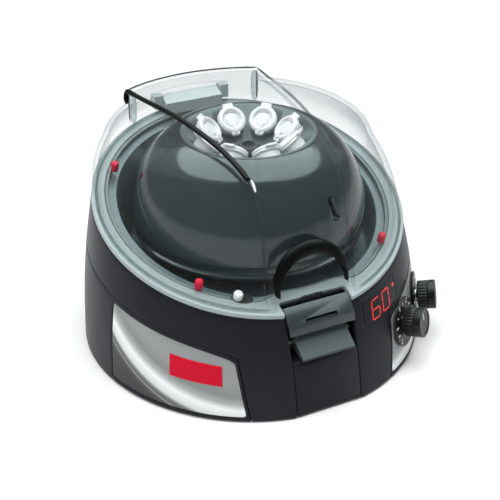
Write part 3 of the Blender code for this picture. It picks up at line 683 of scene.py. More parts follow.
def grid_within(outer, gaps, rims, clearance, step):
    """Points of a grid inside the outline and outside its gaps, clear of every edge."""
    low = np.min(outer, axis=0)
    high = np.max(outer, axis=0)
    columns = max(2, int((high[0] - low[0]) / step))
    rows = max(2, int((high[1] - low[1]) / step))
    across = [low[0] + (high[0] - low[0]) * (column + 0.5) / columns for column in range(columns)]
    up = [low[1] + (high[1] - low[1]) * (row + 0.5) / rows for row in range(rows)]
    grid = np.array([(u, v) for u in across for v in up])
    keep = inside(grid, outer) & (loop_distance(grid, rims) > clearance)
    for gap in gaps:
        keep &= ~inside(grid, gap)
    return [tuple(point) for point in grid[keep]]


def triangulated(rings, loose_points, outer, gaps):
    """The flat points of a sheet, with the triangles that lie in the outline and outside its gaps."""
    points = []
    edges = []
    for ring in rings:
        first = len(points)
        points += ring
        edges += [(first + k, first + (k + 1) % len(ring)) for k in range(len(ring))]
    points += loose_points
    flat, _, faces, _, _, _ = delaunay_2d_cdt([Vector(point) for point in points], edges, [], 0, 1e-8)
    spots = np.array([tuple(point) for point in flat])
    middles = np.array([spots[list(face)].mean(0) for face in faces])
    good = inside(middles, outer)
    for gap in gaps:
        good &= ~inside(middles, gap)
    return spots, [tuple(face) for face, kept in zip(faces, good) if kept]


def sheet_depths(spots, edges, pocket_edges, rounding, level):
    """How deep each point lies: sunk in the pockets and rounded off beside each edge."""
    depth = np.full(len(spots), level)
    away = loop_distance(spots, edges + [loop for loop, _ in pocket_edges])
    for loop, sink in pocket_edges:
        within = inside(spots, loop) & (loop_distance(spots, [loop]) > POCKET_LIP * 0.5)
        depth[within] += sink
        away[within] = loop_distance(spots[within], edges) if within.any() else 0
    short = np.clip(1 - away / rounding, 0, 1)
    return depth + rounding * (1 - np.sqrt(1 - short ** 2))


def open_edges(faces):
    """The sides that only one face has."""
    sides = {(a, b): True for face in faces for a, b in zip(face, face[1:] + face[:1])}
    return [(a, b) for a, b in sides if (b, a) not in sides]


def mapped(obj, spots, corners):
    """Lays the plate's own coordinates, from 0 to 1 between two corners of the sheet, on a panel."""
    (u0, v0), (u1, v1) = corners
    layer = obj.data.uv_layers.new(name="surface")
    for loop in obj.data.loops:
        u, v = spots[loop.vertex_index % len(spots)]
        layer.data[loop.index].uv = ((u - u0) / (u1 - u0), (v - v0) / (v1 - v0))


def without_loose_points(obj):
    work = bmesh.new()
    work.from_mesh(obj.data)
    loose = [vert for vert in work.verts if not vert.link_faces]
    bmesh.ops.delete(work, geom=loose, context="VERTS")
    work.to_mesh(obj.data)
    work.free()
    return obj


def panel(
    name, outline, surface, thickness, holes=(), pockets=(), rounding=0.0004, step=0.0022, level=0.0,
    coordinates=None,
):
    """A sheet of a surface within an outline, less its holes, with round edges and sunken pockets.

    surface(u, v, inset) gives a point; pockets are (loop, depth); level sinks the whole face.
    """
    edge_step = step * 0.6
    outer = turned_way(even(outline, edge_step), True)
    gaps = [turned_way(even(hole, edge_step), False) for hole in holes]
    sinks = [(turned_way(even(loop, edge_step), False), depth) for loop, depth in pockets]
    rims = [outer] + gaps + [loop for loop, _ in sinks]
    rings = []
    for loop in rims:
        rings += [loop] + [shifted(loop, rounding * share) for share in ROUNDING_SHARES]
    rings += [shifted(loop, -POCKET_LIP) for loop, _ in sinks]
    grid = grid_within(outer, gaps, rims, rounding + step * 0.35, step)
    spots, front = triangulated(rings, grid, outer, gaps)
    depth = sheet_depths(spots, [outer] + gaps, sinks, rounding, level)
    count = len(spots)
    points = [surface(u, v, inset) for (u, v), inset in zip(spots, depth)]
    points += [surface(u, v, thickness) for u, v in spots]
    back = [tuple(count + index for index in reversed(face)) for face in front]
    sides = [(b, a, count + a, count + b) for a, b in open_edges(front)]
    obj = mesh_object(name, points, front + back + sides, 40, outside=False)
    if coordinates:
        mapped(obj, spots, coordinates)
    return without_loose_points(obj)


def round_faces(columns, size, rows):
    """The faces between columns of points that go once round; rows is how many faces a column has."""
    faces = []
    for column in range(columns):
        near = column * size
        far = (column + 1) % columns * size
        for row in range(rows):
            up = (row + 1) % size
            faces.append((near + row, far + row, far + up, near + up))
    return faces


def lofted(name, section, columns):
    """A ring whose section, a list of points for each azimuth, goes once round the axis."""
    rings = [section(2 * pi * column / columns) for column in range(columns)]
    size = len(rings[0])
    return mesh_object(name, [point for ring in rings for point in ring], round_faces(columns, size, size))


def stacked(name, loops, sharp=35.0):
    """A solid of loops of points, one after another, closed by a face at each end."""
    size = len(loops[0])
    points = [point for loop in loops for point in loop]
    faces = [tuple(range(size)), tuple(range(len(points) - size, len(points)))]
    for step in range(len(loops) - 1):
        for column in range(size):
            after = (column + 1) % size
            low = step * size
            faces.append((low + column, low + after, low + size + after, low + size + column))
    return mesh_object(name, points, faces, sharp)


def filleted(profile):
    """A (radius, height, corner radius) profile as (radius, height) points with its corners rounded."""
    made = []
    for index, corner in enumerate(profile):
        spot = Vector(corner[:2])
        size = corner[2] if len(corner) > 2 else 0
        if not size or index in (0, len(profile) - 1):
            made.append(tuple(spot))
            continue
        before = Vector(profile[index - 1][:2]) - spot
        after = Vector(profile[index + 1][:2]) - spot
        reach = min(size, before.length * 0.49, after.length * 0.49)
        start = spot + before.normalized() * reach
        end = spot + after.normalized() * reach
        for step in range(5):
            share = step / 4
            made.append(tuple(start.lerp(spot, share).lerp(spot.lerp(end, share), share)))
    return made


def turned(
    name, profile, steps=48, spot=(0, 0, 0), direction=(0, 0, 1), ring=False, sharp=40.0, wave=None
):
    """A turned piece. A ring's profile is closed; wave(turn, radius, height) may change a point's radius."""
    line = filleted(profile)
    points = []
    for step in range(steps):
        turn = 2 * pi * step / steps
        for radius, height in line:
            out = wave(turn, radius, height) if wave else radius
            points.append((out * cos(turn), out * sin(turn), height))
    size = len(line)
    obj = mesh_object(name, points, round_faces(steps, size, size if ring else size - 1), sharp)
    turn = Vector((0, 0, 1)).rotation_difference(Vector(direction)).to_matrix().to_4x4()
    obj.data.transform(Matrix.Translation(Vector(spot)) @ turn)
    return obj


def prism(name, outline, half_width):
    """A prism along X of a flat outline of (y, z) points; half_width may be a number or a function of y."""
    reach = half_width if callable(half_width) else lambda y: half_width
    loops = [[Vector((side * reach(y), y, z)) for y, z in outline] for side in (-1, 1)]
    return stacked(name, loops, 30)


def block(name, size, centre, azimuth=0.0, lean=0.0, bevel=0.0):
    """A box whose -Y side looks out at an azimuth; lean tips that side up."""
    mesh = bpy.data.meshes.new(name)
    work = bmesh.new()
    bmesh.ops.create_cube(work, size=1)
    bmesh.ops.scale(work, vec=size, verts=work.verts)
    turn = Matrix.Rotation(azimuth, 3, "Z") @ Matrix.Rotation(-lean, 3, "X")
    bmesh.ops.rotate(work, cent=(0, 0, 0), matrix=turn, verts=work.verts)
    bmesh.ops.translate(work, vec=Vector(centre), verts=work.verts)
    work.to_mesh(mesh)
    work.free()
    obj = linked(name, mesh)
    return rounded(obj, bevel) if bevel else obj


def smooth_path(points, steps):
    """A Catmull-Rom curve through the points."""
    ends = [points[0] * 2 - points[1]] + list(points) + [points[-1] * 2 - points[-2]]
    made = []
    for index in range(1, len(ends) - 2):
        a, b, c, d = ends[index - 1:index + 3]
        for step in range(steps):
            t = step / steps
            square = (a * 2 - b * 5 + c * 4 - d) * t ** 2
            cube = (b * 3 - a - c * 3 + d) * t ** 3
            made.append((b * 2 + (c - a) * t + square + cube) / 2)
    made.append(points[-1])
    return made


def bead(name, path, width, height, sides, up=None, taper=None):
    """A round or flattened bead along a path, with closed round ends; taper(share) scales it."""
    loops = []
    count = len(path)
    side_way = None
    for index, spot in enumerate(path):
        along = (path[min(index + 1, count - 1)] - path[max(index - 1, 0)]).normalized()
        if up is not None:
            side_way = along.cross(Vector(up)).normalized()
        elif side_way is None:
            side_way = along.orthogonal().normalized()
        else:
            side_way = (side_way - along * side_way.dot(along)).normalized()
        top = side_way.cross(along).normalized()
        size = taper(index / (count - 1)) if taper else 1.0
        size *= (0.45, 0.8, 1.0)[min(index, count - 1 - index, 2)]
        loops.append([spot + side_way * (x * width * size) + top * (y * height * size)
                      for x, y in circle(0.5, sides)])
    return stacked(name, loops, 60)


# ---- housing --------------------------------------------------------------------------------------


def on_wall(azimuth, rise):
    """The sheet coordinates of a spot of the wall."""
    return (azimuth * ROLL, rise * RISE)


def between(start, end, steps):
    """Evenly spaced numbers from start to end, both included."""
    return [start + (end - start) * step / steps for step in range(steps + 1)]


def side_line(azimuth_at, low, high):
    """Points of the wall along a line that runs up it."""
    return [on_wall(azimuth_at(rise), rise) for rise in between(low, high, 24)]


def round_line(start, end, rise_at):
    """Points of the wall along a line that runs round it."""
    return [on_wall(turn, rise_at(turn)) for turn in between(start, end, 120)]


def wall_patch(span, rises):
    """A four-sided loop of the wall between two azimuths and two rises."""
    return [on_wall(turn % (2 * pi), rise) for turn, rise in
            rectangle((span[0], rises[0]), (span[1], rises[1]))]


def plate_outline(side, grow=0.0):
    """The outline of a side plate, whose corners are round; grow moves it outwards."""
    corner = seam(apron(0.6)) - PLATE_DROP
    near = [(apron(rise) + PLATE_MARGIN, rise) for rise in (PLATE_FOOT, 0.2, 0.4, corner)]
    top = [(turn, seam(turn) - PLATE_DROP) for turn in between(near[-1][0], PLATE_BACK, 24)[1:]]
    back = [(PLATE_BACK, 0.3), (PLATE_BACK, PLATE_FOOT)]
    foot = [(turn, PLATE_FOOT) for turn in between(PLATE_BACK, near[0][0], 16)[1:-1]]
    points = near + top + back + foot
    loop = [on_wall(side * turn % (2 * pi) if side < 0 else turn, rise) for turn, rise in points]
    loop = turned_way(softened(loop, PLATE_CORNER), True)
    return shifted(loop, -grow) if grow else loop


def wall_circle(azimuth, rise, radius, steps=28):
    return circle(radius, steps, on_wall(azimuth, rise))


def wall_box(azimuth, rise, width, height):
    u, v = on_wall(azimuth, rise)
    low = (u - width / 2, v - height / 2)
    high = (u + width / 2, v + height / 2)
    return softened(rectangle(low, high), 0.0008)


def knob_holes():
    return [wall_circle(turn, knob_frame(turn)[2], KNOB_HOLE) for turn in KNOB_AZIMUTHS.values()]


def build_upper_housing():
    """The upper shell, which comes down between the lower one's ends as the front apron."""
    corner = seam(apron(0.62))
    right = side_line(apron, 0.0, corner + SEAM_GAP / 2)
    left = [on_wall(FULL - apron(v / RISE), v / RISE) for _, v in reversed(right)]
    band = round_line(apron(corner), FULL - apron(corner), lambda turn: seam(turn) + SEAM_GAP / 2)
    channel_right = side_line(channel_azimuth, 1.0, 0.0)
    channel_left = side_line(lambda rise: FULL - channel_azimuth(rise), 0.0, 1.0)
    outline = softened(channel_right + right + band[1:-1] + left + channel_left, 0.0016)
    window = softened(wall_patch(WINDOW_SPAN, WINDOW_RISE), 0.0014)
    opening = shifted(turned_way(window, True), -0.00012)
    shell = panel("upper_shell", outline, wall_surface, WALL, holes=[opening])
    finished(shell, CHARCOAL, "housing", "charcoal_plastic", "upper_housing")
    glass = panel("display_panel", window, wall_surface, 0.0012, rounding=0.00015, step=0.0012)
    finished(glass, SMOKED, "housing", "smoked_window", "display_window")


def build_lower_housing():
    """The lower shell, with pockets for its plates and holes for the knobs and the fittings behind."""
    corner = seam(apron(0.62))
    right = side_line(lambda rise: apron(rise) + APRON_GAP, 0.0, corner - SEAM_GAP / 2)
    left = [on_wall(FULL - apron(v / RISE) - APRON_GAP, v / RISE) for _, v in reversed(right)]
    near = apron(corner) + APRON_GAP
    brim = round_line(near, FULL - near, lambda turn: seam(turn) - SEAM_GAP / 2)
    foot = round_line(FULL - apron(0) - APRON_GAP, apron(0) + APRON_GAP, lambda turn: 0.0)
    outline = softened(right + brim[1:-1] + left + foot[1:-1], 0.0020)
    holes = knob_holes()
    for node in ("power_inlet", "switch_frame"):
        azimuth, width, height, rise = opening_of(node)
        holes.append(wall_box(azimuth, rise, width + 0.0006, height + 0.0006))
    pockets = [(plate_outline(side, 0.0003), PLATE_DEPTH) for side in (-1, 1)]
    shell = panel("lower_shell", outline, wall_surface, WALL, holes=holes, pockets=pockets)
    finished(shell, CHARCOAL, "housing", "charcoal_plastic", "lower_housing")


def opening_of(node):
    """A back fitting's azimuth, width, height and rise, from its box."""
    low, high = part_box(node)
    middle = (low + high) / 2 - AXIS
    azimuth = math.atan2(middle.x, -middle.y) % (2 * pi)
    height = high.z - low.z
    # The box of a body that stands askew is wider than the body, by its depth.
    width = (high.x - low.x - FITTING_DEPTH * abs(sin(azimuth))) / abs(cos(azimuth))
    rise = (middle.z - BASE_Z) / (wall_point(azimuth, 1).z - BASE_Z)
    return azimuth, width, height, rise


def build_plates():
    """The brushed plates in their pockets, and the red badge on the left one."""
    for side, name, node in ((-1, "name_plate", "label_plate"), (1, "dial_plate", "control_plate")):
        outline = plate_outline(side)
        us = [u for u, _ in outline]
        vs = [v for _, v in outline]
        near, far = (max(us), min(us)) if side < 0 else (min(us), max(us))
        plate = panel(
            name, outline, wall_surface, 0.0011, holes=knob_holes() if side > 0 else (), rounding=0.00025,
            step=0.0018, level=0.0001, coordinates=((near, min(vs)), (far, max(vs))),
        )
        finished(plate, PLATE, "housing", "brushed_silver", node)
    badge = wall_patch(BADGE_SPAN, BADGE_RISE)
    piece = panel("red_badge", badge, wall_surface, 0.00012, rounding=0.0002, step=0.0015, level=-0.0004)
    finished(piece, RED, "housing", "red_badge", "badge")


def lit_mark(name, outline, rounding, step):
    """A thin red patch that stands just off the display's window."""
    mark = panel(name, outline, wall_surface, 0.00002, rounding=rounding, step=step, level=-0.0001)
    finished(mark, GLOW, "housing", "red_badge")


def bar_outline(start, end, half):
    """A display bar with pointed ends between two points of the wall, short of both by a little."""
    along = (end - start).normalized()
    across = Vector((-along.y, along.x)) * half
    tip = along * half
    a = start + along * BAR_GAP
    b = end - along * BAR_GAP
    tips = (a, a + tip + across, b + across - tip, b, b - tip - across, a + tip - across)
    return [tuple(corner) for corner in tips]


def build_digits():
    """Two red seven-segment digits, a six and a nought, and a point."""
    low, high = DIGIT_RISE
    middle = (low + high) / 2
    for name, near, bars in (("six", radians(20.6), "afedcg"), ("nought", radians(26.6), "abcdef")):
        far = near + DIGIT_WIDTH
        corner = {
            "tl": (near + DIGIT_SLANT, high), "ml": (near + DIGIT_SLANT / 2, middle), "bl": (near, low),
            "tr": (far + DIGIT_SLANT, high), "mr": (far + DIGIT_SLANT / 2, middle), "br": (far, low),
        }
        for letter in bars:
            start, end = (Vector(on_wall(*corner[key])) for key in DIGIT_BARS[letter])
            lit_mark("digit_%s_%s" % (name, letter), bar_outline(start, end, BAR_HALF), 0.00008, 0.0009)
    lit_mark("display_point", wall_circle(radians(35.0), 0.845, 0.0011, 16), 0.0001, 0.0008)


def dial_surface(spot, axis):
    """A flat face across a knob's axis: u runs round the wall and v up it."""
    across = Vector((-axis.y, axis.x, 0)).normalized()
    up = axis.cross(across).normalized()
    return lambda u, v, inset: spot + across * u + up * v + axis * (0.0009 - inset)


def dial_number(name, value, face, axis, way):
    """A raised number that stands outside its tick, the way that it points."""
    text = bpy.data.curves.new(name, "FONT")
    text.body = str(value)
    text.size = 0.0017
    text.align_x = "CENTER"
    text.align_y = "CENTER"
    text.extrude = 0.00006
    text.resolution_u = 3
    flat = linked(name, text)
    mesh = evaluated_mesh(flat)
    bpy.data.objects.remove(flat)
    right = face(1, 0, 0) - face(0, 0, 0)
    top = face(0, 1, 0) - face(0, 0, 0)
    middle = face(way.x * 0.0103, way.y * 0.0103, -0.00006)
    mesh.transform(Matrix.Translation(middle) @ Matrix((right, top, axis)).transposed().to_4x4())
    finished(linked(name, mesh), PRINT, "housing", "white_plastic")


def build_dials():
    """Black discs with a tick every 27 degrees and a number at every second one."""
    for name, azimuth in KNOB_AZIMUTHS.items():
        spot, axis, _ = knob_frame(azimuth)
        face = dial_surface(spot, axis)
        base = panel(
            name + "_dial_face", circle(DIAL_RADIUS, 72), face, 0.0007, holes=[circle(0.0037, 36)],
            rounding=0.0002, step=0.0014, level=0.0001,
        )
        finished(base, BLACK, "housing", "black_plastic", name + "_dial")
        for tick in range(11):
            turn = radians(225 - 27 * tick)
            way = Vector((cos(turn), sin(turn)))
            wide = Vector((-way.y, way.x)) * (0.00022 if tick % 2 else 0.00032)
            inner = way * 0.0083
            outer = way * 0.0094
            corners = [tuple(corner) for corner in (inner - wide, outer - wide, outer + wide, inner + wide)]
            mark = panel(
                "%s_tick_%d" % (name, tick), corners, face, 0.00015, rounding=0.00005, step=0.0006,
                level=-0.00005,
            )
            finished(mark, PRINT, "housing", "white_plastic")
            if tick % 2 == 0:
                dial_number("%s_number_%d" % (name, tick), tick, face, axis, way)


def build_knobs():
    """Knurled knobs on their stems, with a white pointer on the end."""

    def knurl(turn, radius, height):
        if 0.0022 < height < 0.0066 and radius > KNOB_RADIUS - 0.0006:
            return radius - 0.00028 * (0.5 + 0.5 * cos(KNOB_RIBS * turn)) ** 0.6
        return radius

    for name, azimuth in KNOB_AZIMUTHS.items():
        spot, axis, _ = knob_frame(azimuth)
        profile = [
            (0, KNOB_END - 0.0003), (KNOB_RADIUS - 0.0018, KNOB_END - 0.0003, 0.0002),
            (KNOB_RADIUS - 0.0014, KNOB_END, 0.0002), (KNOB_RADIUS, KNOB_END, 0.0005),
            (KNOB_RADIUS, 0.0068, 0.0002), (KNOB_RADIUS - 0.0003, 0.0066, 0.0001),
            (KNOB_RADIUS - 0.0001, 0.0064), (KNOB_RADIUS - 0.0001, 0.0045),
            (KNOB_RADIUS - 0.0001, 0.0024, 0.0002), (KNOB_RADIUS - 0.0004, 0.0018, 0.0003),
            (0.0015, 0.0018), (0.0015, -0.0100, 0.0003), (0, -0.0100),
        ]
        knob = turned(name + "_knob_body", profile, KNOB_RIBS * 6, spot, axis, wave=knurl, sharp=50)
        finished(knob, BLACK, name + "_knob", "black_plastic", name + "_knob")
        face = dial_surface(spot, axis)
        line = rectangle((-0.00025, 0.0012), (0.00025, 0.0046))
        mark = panel(name + "_pointer", line, face, -0.0088, rounding=0.00008, step=0.0008, level=-0.0089)
        finished(mark, PRINT, name + "_knob", "white_plastic")


# ---- rim, chamber and front -----------------------------------------------------------------------


def rim_surface(u, v, inset):
    return rim_place(u, v, -inset)


def rim_loop(radius_at):
    """A closed loop on the rim's plane, about the ring's middle."""
    turns = [2 * pi * k / 180 for k in range(180)]
    return [(radius_at(turn) * sin(turn), RING_SHIFT - radius_at(turn) * cos(turn)) for turn in turns]


def ledge_edge(turn):
    """How far the ledge's outer edge lies out: it draws in for the tongue behind the latch."""
    share = math.exp(-(((turn + pi) % (2 * pi) - pi) / LEDGE_TONGUE_SPREAD) ** 8)
    return LEDGE_RADIUS * (1 - share) + (ring_edge(turn) + 0.0002) * share


def build_rim():
    """The pale ring, and the darker inner step, which carries the pins."""
    notch = (NOTCH_Y - RIM_Y) / cos(RIM_TILT)
    first = math.asin(CHANNEL / RIM_RADIUS)
    turns = [first + (2 * pi - 2 * first) * k / 180 for k in range(181)]
    outer = [(RIM_RADIUS * sin(turn), -RIM_RADIUS * cos(turn)) for turn in turns]
    outer = softened(outer + [(-CHANNEL, notch), (CHANNEL, notch)], 0.0012)
    ring = panel("rim_band", outer, rim_surface, 0.0021, holes=[rim_loop(ledge_edge)], rounding=0.0006)
    finished(ring, RIM_GREY, "housing", "rim_grey_plastic", "rim_ring")
    edge = rim_loop(lambda turn: ledge_edge(turn) - 0.00015)
    opening = rim_loop(lambda turn: min(ring_edge(turn), ledge_edge(turn) - 0.0008))
    ledge = panel("rim_ledge", edge, rim_surface, 0.0021, holes=[opening], rounding=0.0003, level=0.0003)
    finished(ledge, LEDGE_GREY, "housing", "rim_grey_plastic")


def build_bowl():
    """The chamber under the rotor, whose flange seats under the rim and is notched for the channel."""
    def section(azimuth):
        flange = ring_edge(azimuth) + 0.0012
        edge = min(BOWL_EDGE, flange - 0.0008)
        wall = outward(azimuth)
        start = rim_point(azimuth, edge, -0.0034, RING_SHIFT)
        foot = wall * BOWL_RADIUS + Vector((0, 0, 0.0435))
        inner = [rim_point(azimuth, 0.0672, -0.0023), rim_point(azimuth, flange, -0.0023, RING_SHIFT),
                 rim_point(azimuth, edge + 0.0005, -0.0025, RING_SHIFT)]
        for share in (0, 0.25, 0.5, 0.75, 1):
            inner.append(start.lerp(foot, share) + wall * 0.0006 * sin(pi * share))
        for step in (0.3, 0.6, 1.0):
            turn = step * pi / 2
            inner.append(wall * (BOWL_RADIUS - 0.002 + 0.002 * cos(turn))
                         + Vector((0, 0, 0.0435 - 0.002 * sin(turn))))
        inner += [wall * reach + Vector((0, 0, BOWL_FLOOR_Z)) for reach in (0.030, SHAFT_HOLE)]
        floor = BOWL_FLOOR_Z - BOWL_WALL
        outer = [
            wall * SHAFT_HOLE + Vector((0, 0, floor)), wall * (BOWL_RADIUS - 0.001) + Vector((0, 0, floor)),
            wall * (BOWL_RADIUS + BOWL_WALL) + Vector((0, 0, 0.0425)),
            rim_point(azimuth, edge + BOWL_WALL, -0.0042, RING_SHIFT), rim_point(azimuth, 0.0672, -0.0038),
        ]
        return inner + outer

    bowl = lofted("chamber", section, 144)
    cutter = block("bowl_notch", (2 * CHANNEL + 0.0012, 0.04, 0.1), (0, -0.0590 - 0.02, 0.0400 + 0.05))
    cut(bowl, cutter)
    finished(bowl, CHAMBER, "housing", "slate_plastic", "chamber_bowl")


def build_pins():
    """The red buffers on the rim, and the white pin of the lid switch in its oval guide."""
    for count, azimuth in enumerate(PIN_AZIMUTHS, 1):
        profile = [(0, 0.0049), (0.0013, 0.0049, 0.0004), (0.0018, 0.0040, 0.0003), (0.0018, 0.0014, 0.0002),
                   (0.0016, 0.0003), (0, 0.0003)]
        pin = turned("bumper_pin_%d" % count, profile, 32, rim_point(azimuth, PIN_R), RIM_NORMAL)
        finished(pin, RED_RUBBER, "housing", "red_rubber", "bumper_%d" % count)
    profile = [
        (0, PLUNGER_TOP), (0.0017, PLUNGER_TOP, 0.0004), (0.0020, PLUNGER_TOP - 0.0007, 0.0002),
        (0.0020, -0.0070, 0.0002), (0, -0.0070),
    ]
    plunger = turned("lid_sensor_pin", profile, 32, rim_point(PLUNGER_AZIMUTH, PIN_R), RIM_NORMAL)
    finished(plunger, WHITE, "plunger", "white_plastic", "interlock_plunger")
    middle = PLUNGER_AZIMUTH + 0.030
    slot = []
    for along, across in circle(1.0, 40):
        reach = PIN_R - 0.0027 * across
        shift = 0.0046 * along
        slot.append((reach * sin(middle) + shift * cos(middle), shift * sin(middle) - reach * cos(middle)))
    hole = circle(0.0022, 32, (PIN_R * sin(PLUNGER_AZIMUTH), -PIN_R * cos(PLUNGER_AZIMUTH)))
    guide = panel(
        "lid_sensor_guide", slot, rim_surface, 0.0002, holes=[hole], rounding=0.0001, step=0.0010,
        level=-0.0003,
    )
    finished(guide, BLACK, "housing", "black_plastic")


def build_front():
    """The recessed front panel, the slotted ramp over it and the press tab with its hook."""
    def wall_y(z, inset):
        rise = (z - BASE_Z) / (wall_point(0, 1).z - BASE_Z)
        return wall_point(0, rise, inset).y

    shelf = 0.0245
    heights = [0.0012 + (shelf - 0.0012) * step / 10 for step in range(11)]
    outline = [(wall_y(z, 0.0016), z) for z in heights] + [
        (-0.0640, shelf), (-0.0632, 0.0448), (-0.0616, 0.0448), (-0.0622, shelf - 0.0016),
        (wall_y(shelf, 0.0034), shelf - 0.0016), (wall_y(0.0012, 0.0036), 0.0012),
    ]
    insert = prism("front_panel", outline, CHANNEL - 0.0003)
    rounded(insert, 0.0004, 2, 40)
    cut(insert, block("window", (0.0090, 0.006, 0.0070), (0, -0.0628, 0.0385)))
    finished(insert, APRON, "housing", "charcoal_plastic", "front_insert")

    ramp = [
        (-0.0642, 0.0449), (-0.0635, 0.0462), (-0.0703, 0.0404), (-0.0712, 0.0361), (-0.0696, 0.0361),
        (-0.0690, 0.0392), (-0.0647, 0.0429),
    ]
    keeper = prism("catch_frame", ramp, CHANNEL - 0.0003)
    rounded(keeper, 0.00035, 3, 25)
    cut(keeper, block("slot", (0.0150, 0.008, 0.0014), (0, -0.0685, 0.0411)))
    finished(keeper, SLATE, "housing", "slate_plastic", "latch_frame")

    lever = [
        (-0.0682, 0.0284), (-0.0765, 0.0262), (-0.0772, 0.0277), (-0.0702, 0.0322), (-0.0682, 0.0344),
        (-0.0676, 0.0390), (-0.0611, 0.0390), (-0.0613, 0.0372), (-0.0656, 0.0372), (-0.0645, 0.0330),
        (-0.0645, 0.0290),
    ]
    latch = prism("latch_lever", lever, 0.0125)
    for side in (-1, 1):
        trim = block("trim", (0.0120, 0.012, 0.0080), (side * 0.0095, -0.0600, 0.0392))
        cut(latch, trim)
    bore = turned("bore", [(0, 0.02), (0.0011, 0.02), (0.0011, -0.02), (0, -0.02)], 24, LATCH_AXIS, (1, 0, 0))
    cut(latch, bore)
    rounded(latch, 0.0003, 2, 35)
    finished(latch, LATCH_GREY, "latch", "black_plastic", "latch")


# ---- lid ------------------------------------------------------------------------------------------


def fine_profile(points):
    """The band's outline, smooth between its corner at the back and its foot."""
    path = smooth_path([Vector((y, z, 0)) for y, z in points[1:]], BAND_STEPS)
    return [points[0]] + [(spot.x, min(spot.y, BAND_CREST)) for spot in path]


def moved_in(points, wall):
    """An outline moved inwards by the wall."""
    moved = []
    for index, (y, z) in enumerate(points):
        before = Vector(points[max(index - 1, 0)])
        after = Vector(points[min(index + 1, len(points) - 1)])
        along = (after - before).normalized()
        moved.append((y - along.y * wall, z + along.x * wall))
    return moved


def dome(name, inset, drop):
    """The lid's round body: a foot on the leaning rim, a barrel wall and a flattened crown."""
    span = [2 * pi * column / 120 for column in range(120)]
    foot = [rim_point(azimuth, LID_FOOT - inset, LID_FOOT_LIFT - drop) for azimuth in span]
    centre = Vector((0, SHOULDER_Y, SHOULDER_Z - inset / 2))
    radius = SHOULDER_RADIUS - inset
    height = DOME_TOP - inset / 2 - SHOULDER_Z
    shoulder = [centre + outward(azimuth) * radius for azimuth in span]
    loops = [foot]
    for step in range(1, 13):
        share = step / 12
        bulge = LID_BULGE * sin(pi * share)
        loops.append([low.lerp(high, share) + outward(azimuth) * bulge
                      for azimuth, low, high in zip(span, foot, shoulder)])
    for step in range(1, 16):
        turn = step / 16 * pi / 2
        out = radius * cos(turn) ** (2 / DOME_POWER)
        up = height * sin(turn) ** (2 / DOME_POWER)
        loops.append([centre + outward(azimuth) * out + Vector((0, 0, up)) for azimuth in span])
    return stacked(name, loops)


def front_gap(name, front, inset):
    """The room in front of the band, which the dome leaves free."""
    foot_y, foot_z = front[-1]
    outline = front + [(foot_y - 0.001, foot_z - 0.008), (-0.095, foot_z - 0.008), (-0.095, BAND_CLEAR_Z),
                       (front[0][0], BAND_CLEAR_Z)]
    return prism(name, outline, lid_width(inset))


def back_limit(name, inset):
    """A tall body whose back is the dome's round shoulder, to trim the band with."""
    radius = SHOULDER_RADIUS - inset
    turns = [pi * step / 60 for step in range(61)]
    outline = [(radius * cos(turn), SHOULDER_Y + radius * sin(turn)) for turn in turns]
    outline += [(-radius, -0.12), (radius, -0.12)]
    return stacked(name, [[Vector((x, y, z)) for x, y in outline] for z in (0.02, 0.13)])


def build_lid():
    """The clear lid: a dome joined with the band over its middle, and hollowed by the same two."""
    profile = fine_profile(BAND_PROFILE)
    front_count = BAND_STEPS * (BAND_FRONT_POINTS - 1) + 1
    inner = moved_in(profile, LID_WALL)
    lid = dome("lid_cover", 0.0, 0.0)
    cut(lid, front_gap("gap", profile[-front_count:], 0.0))
    band = prism("band", profile, lid_width(0.0))
    boolean(band, [back_limit("limit", 0.0001)], "INTERSECT")
    join(lid, band)
    hollow = dome("hollow", LID_WALL, 0.003)
    cut(hollow, front_gap("gap_wall", inner[-front_count:], -LID_WALL))
    room = inner + [(inner[-1][0], inner[-1][1] - 0.0100)]
    space = prism("space", room, lid_width(LID_WALL))
    boolean(space, [back_limit("space_limit", LID_WALL + 0.0002)], "INTERSECT")
    join(hollow, space)
    cut(lid, hollow)
    cut(lid, block("hinge_notch", (2 * HINGE_NOTCH, 0.02, 0.02), (0, 0.0690, 0.0838)), sharp=28)
    finished(lid, CLEAR, "lid", "clear_lid", "lid_shell")
    return profile


def band_top(profile, y):
    """How high the band's outline is at a y."""
    ys, heights = zip(*reversed(profile))
    return float(np.interp(y, ys, heights))


def back_corner(side, inset, z):
    """A spot on the upright corner between the band's side and its round back wall."""
    x = side * (lid_width(inset)(0.0600) + 0.0001)
    return Vector((x, SHOULDER_Y + math.sqrt((SHOULDER_RADIUS - inset) ** 2 - x ** 2), z))


def band_edge(profile, side, inset, start, end, drop=0.0):
    """A path along the band's side edge, from a y to another."""
    spots = [(y, z) for y, z in profile[1:] if end <= y <= start]
    reach = lid_width(inset)
    return [Vector((side * reach(y), y, z - drop)) for y, z in spots]


def band_back():
    """Where the band's sides meet the round back wall."""
    return SHOULDER_Y + math.sqrt(SHOULDER_RADIUS ** 2 - lid_width(0)(0.060) ** 2)


def lid_line(name, path, width, height, sides, finish, **more):
    """A bead along an edge of the clear lid; in the dark finish it is a painted dark reflection of that edge.
    """
    finished(bead(name, path, width, height, sides, **more), finish, "lid", "clear_lid")


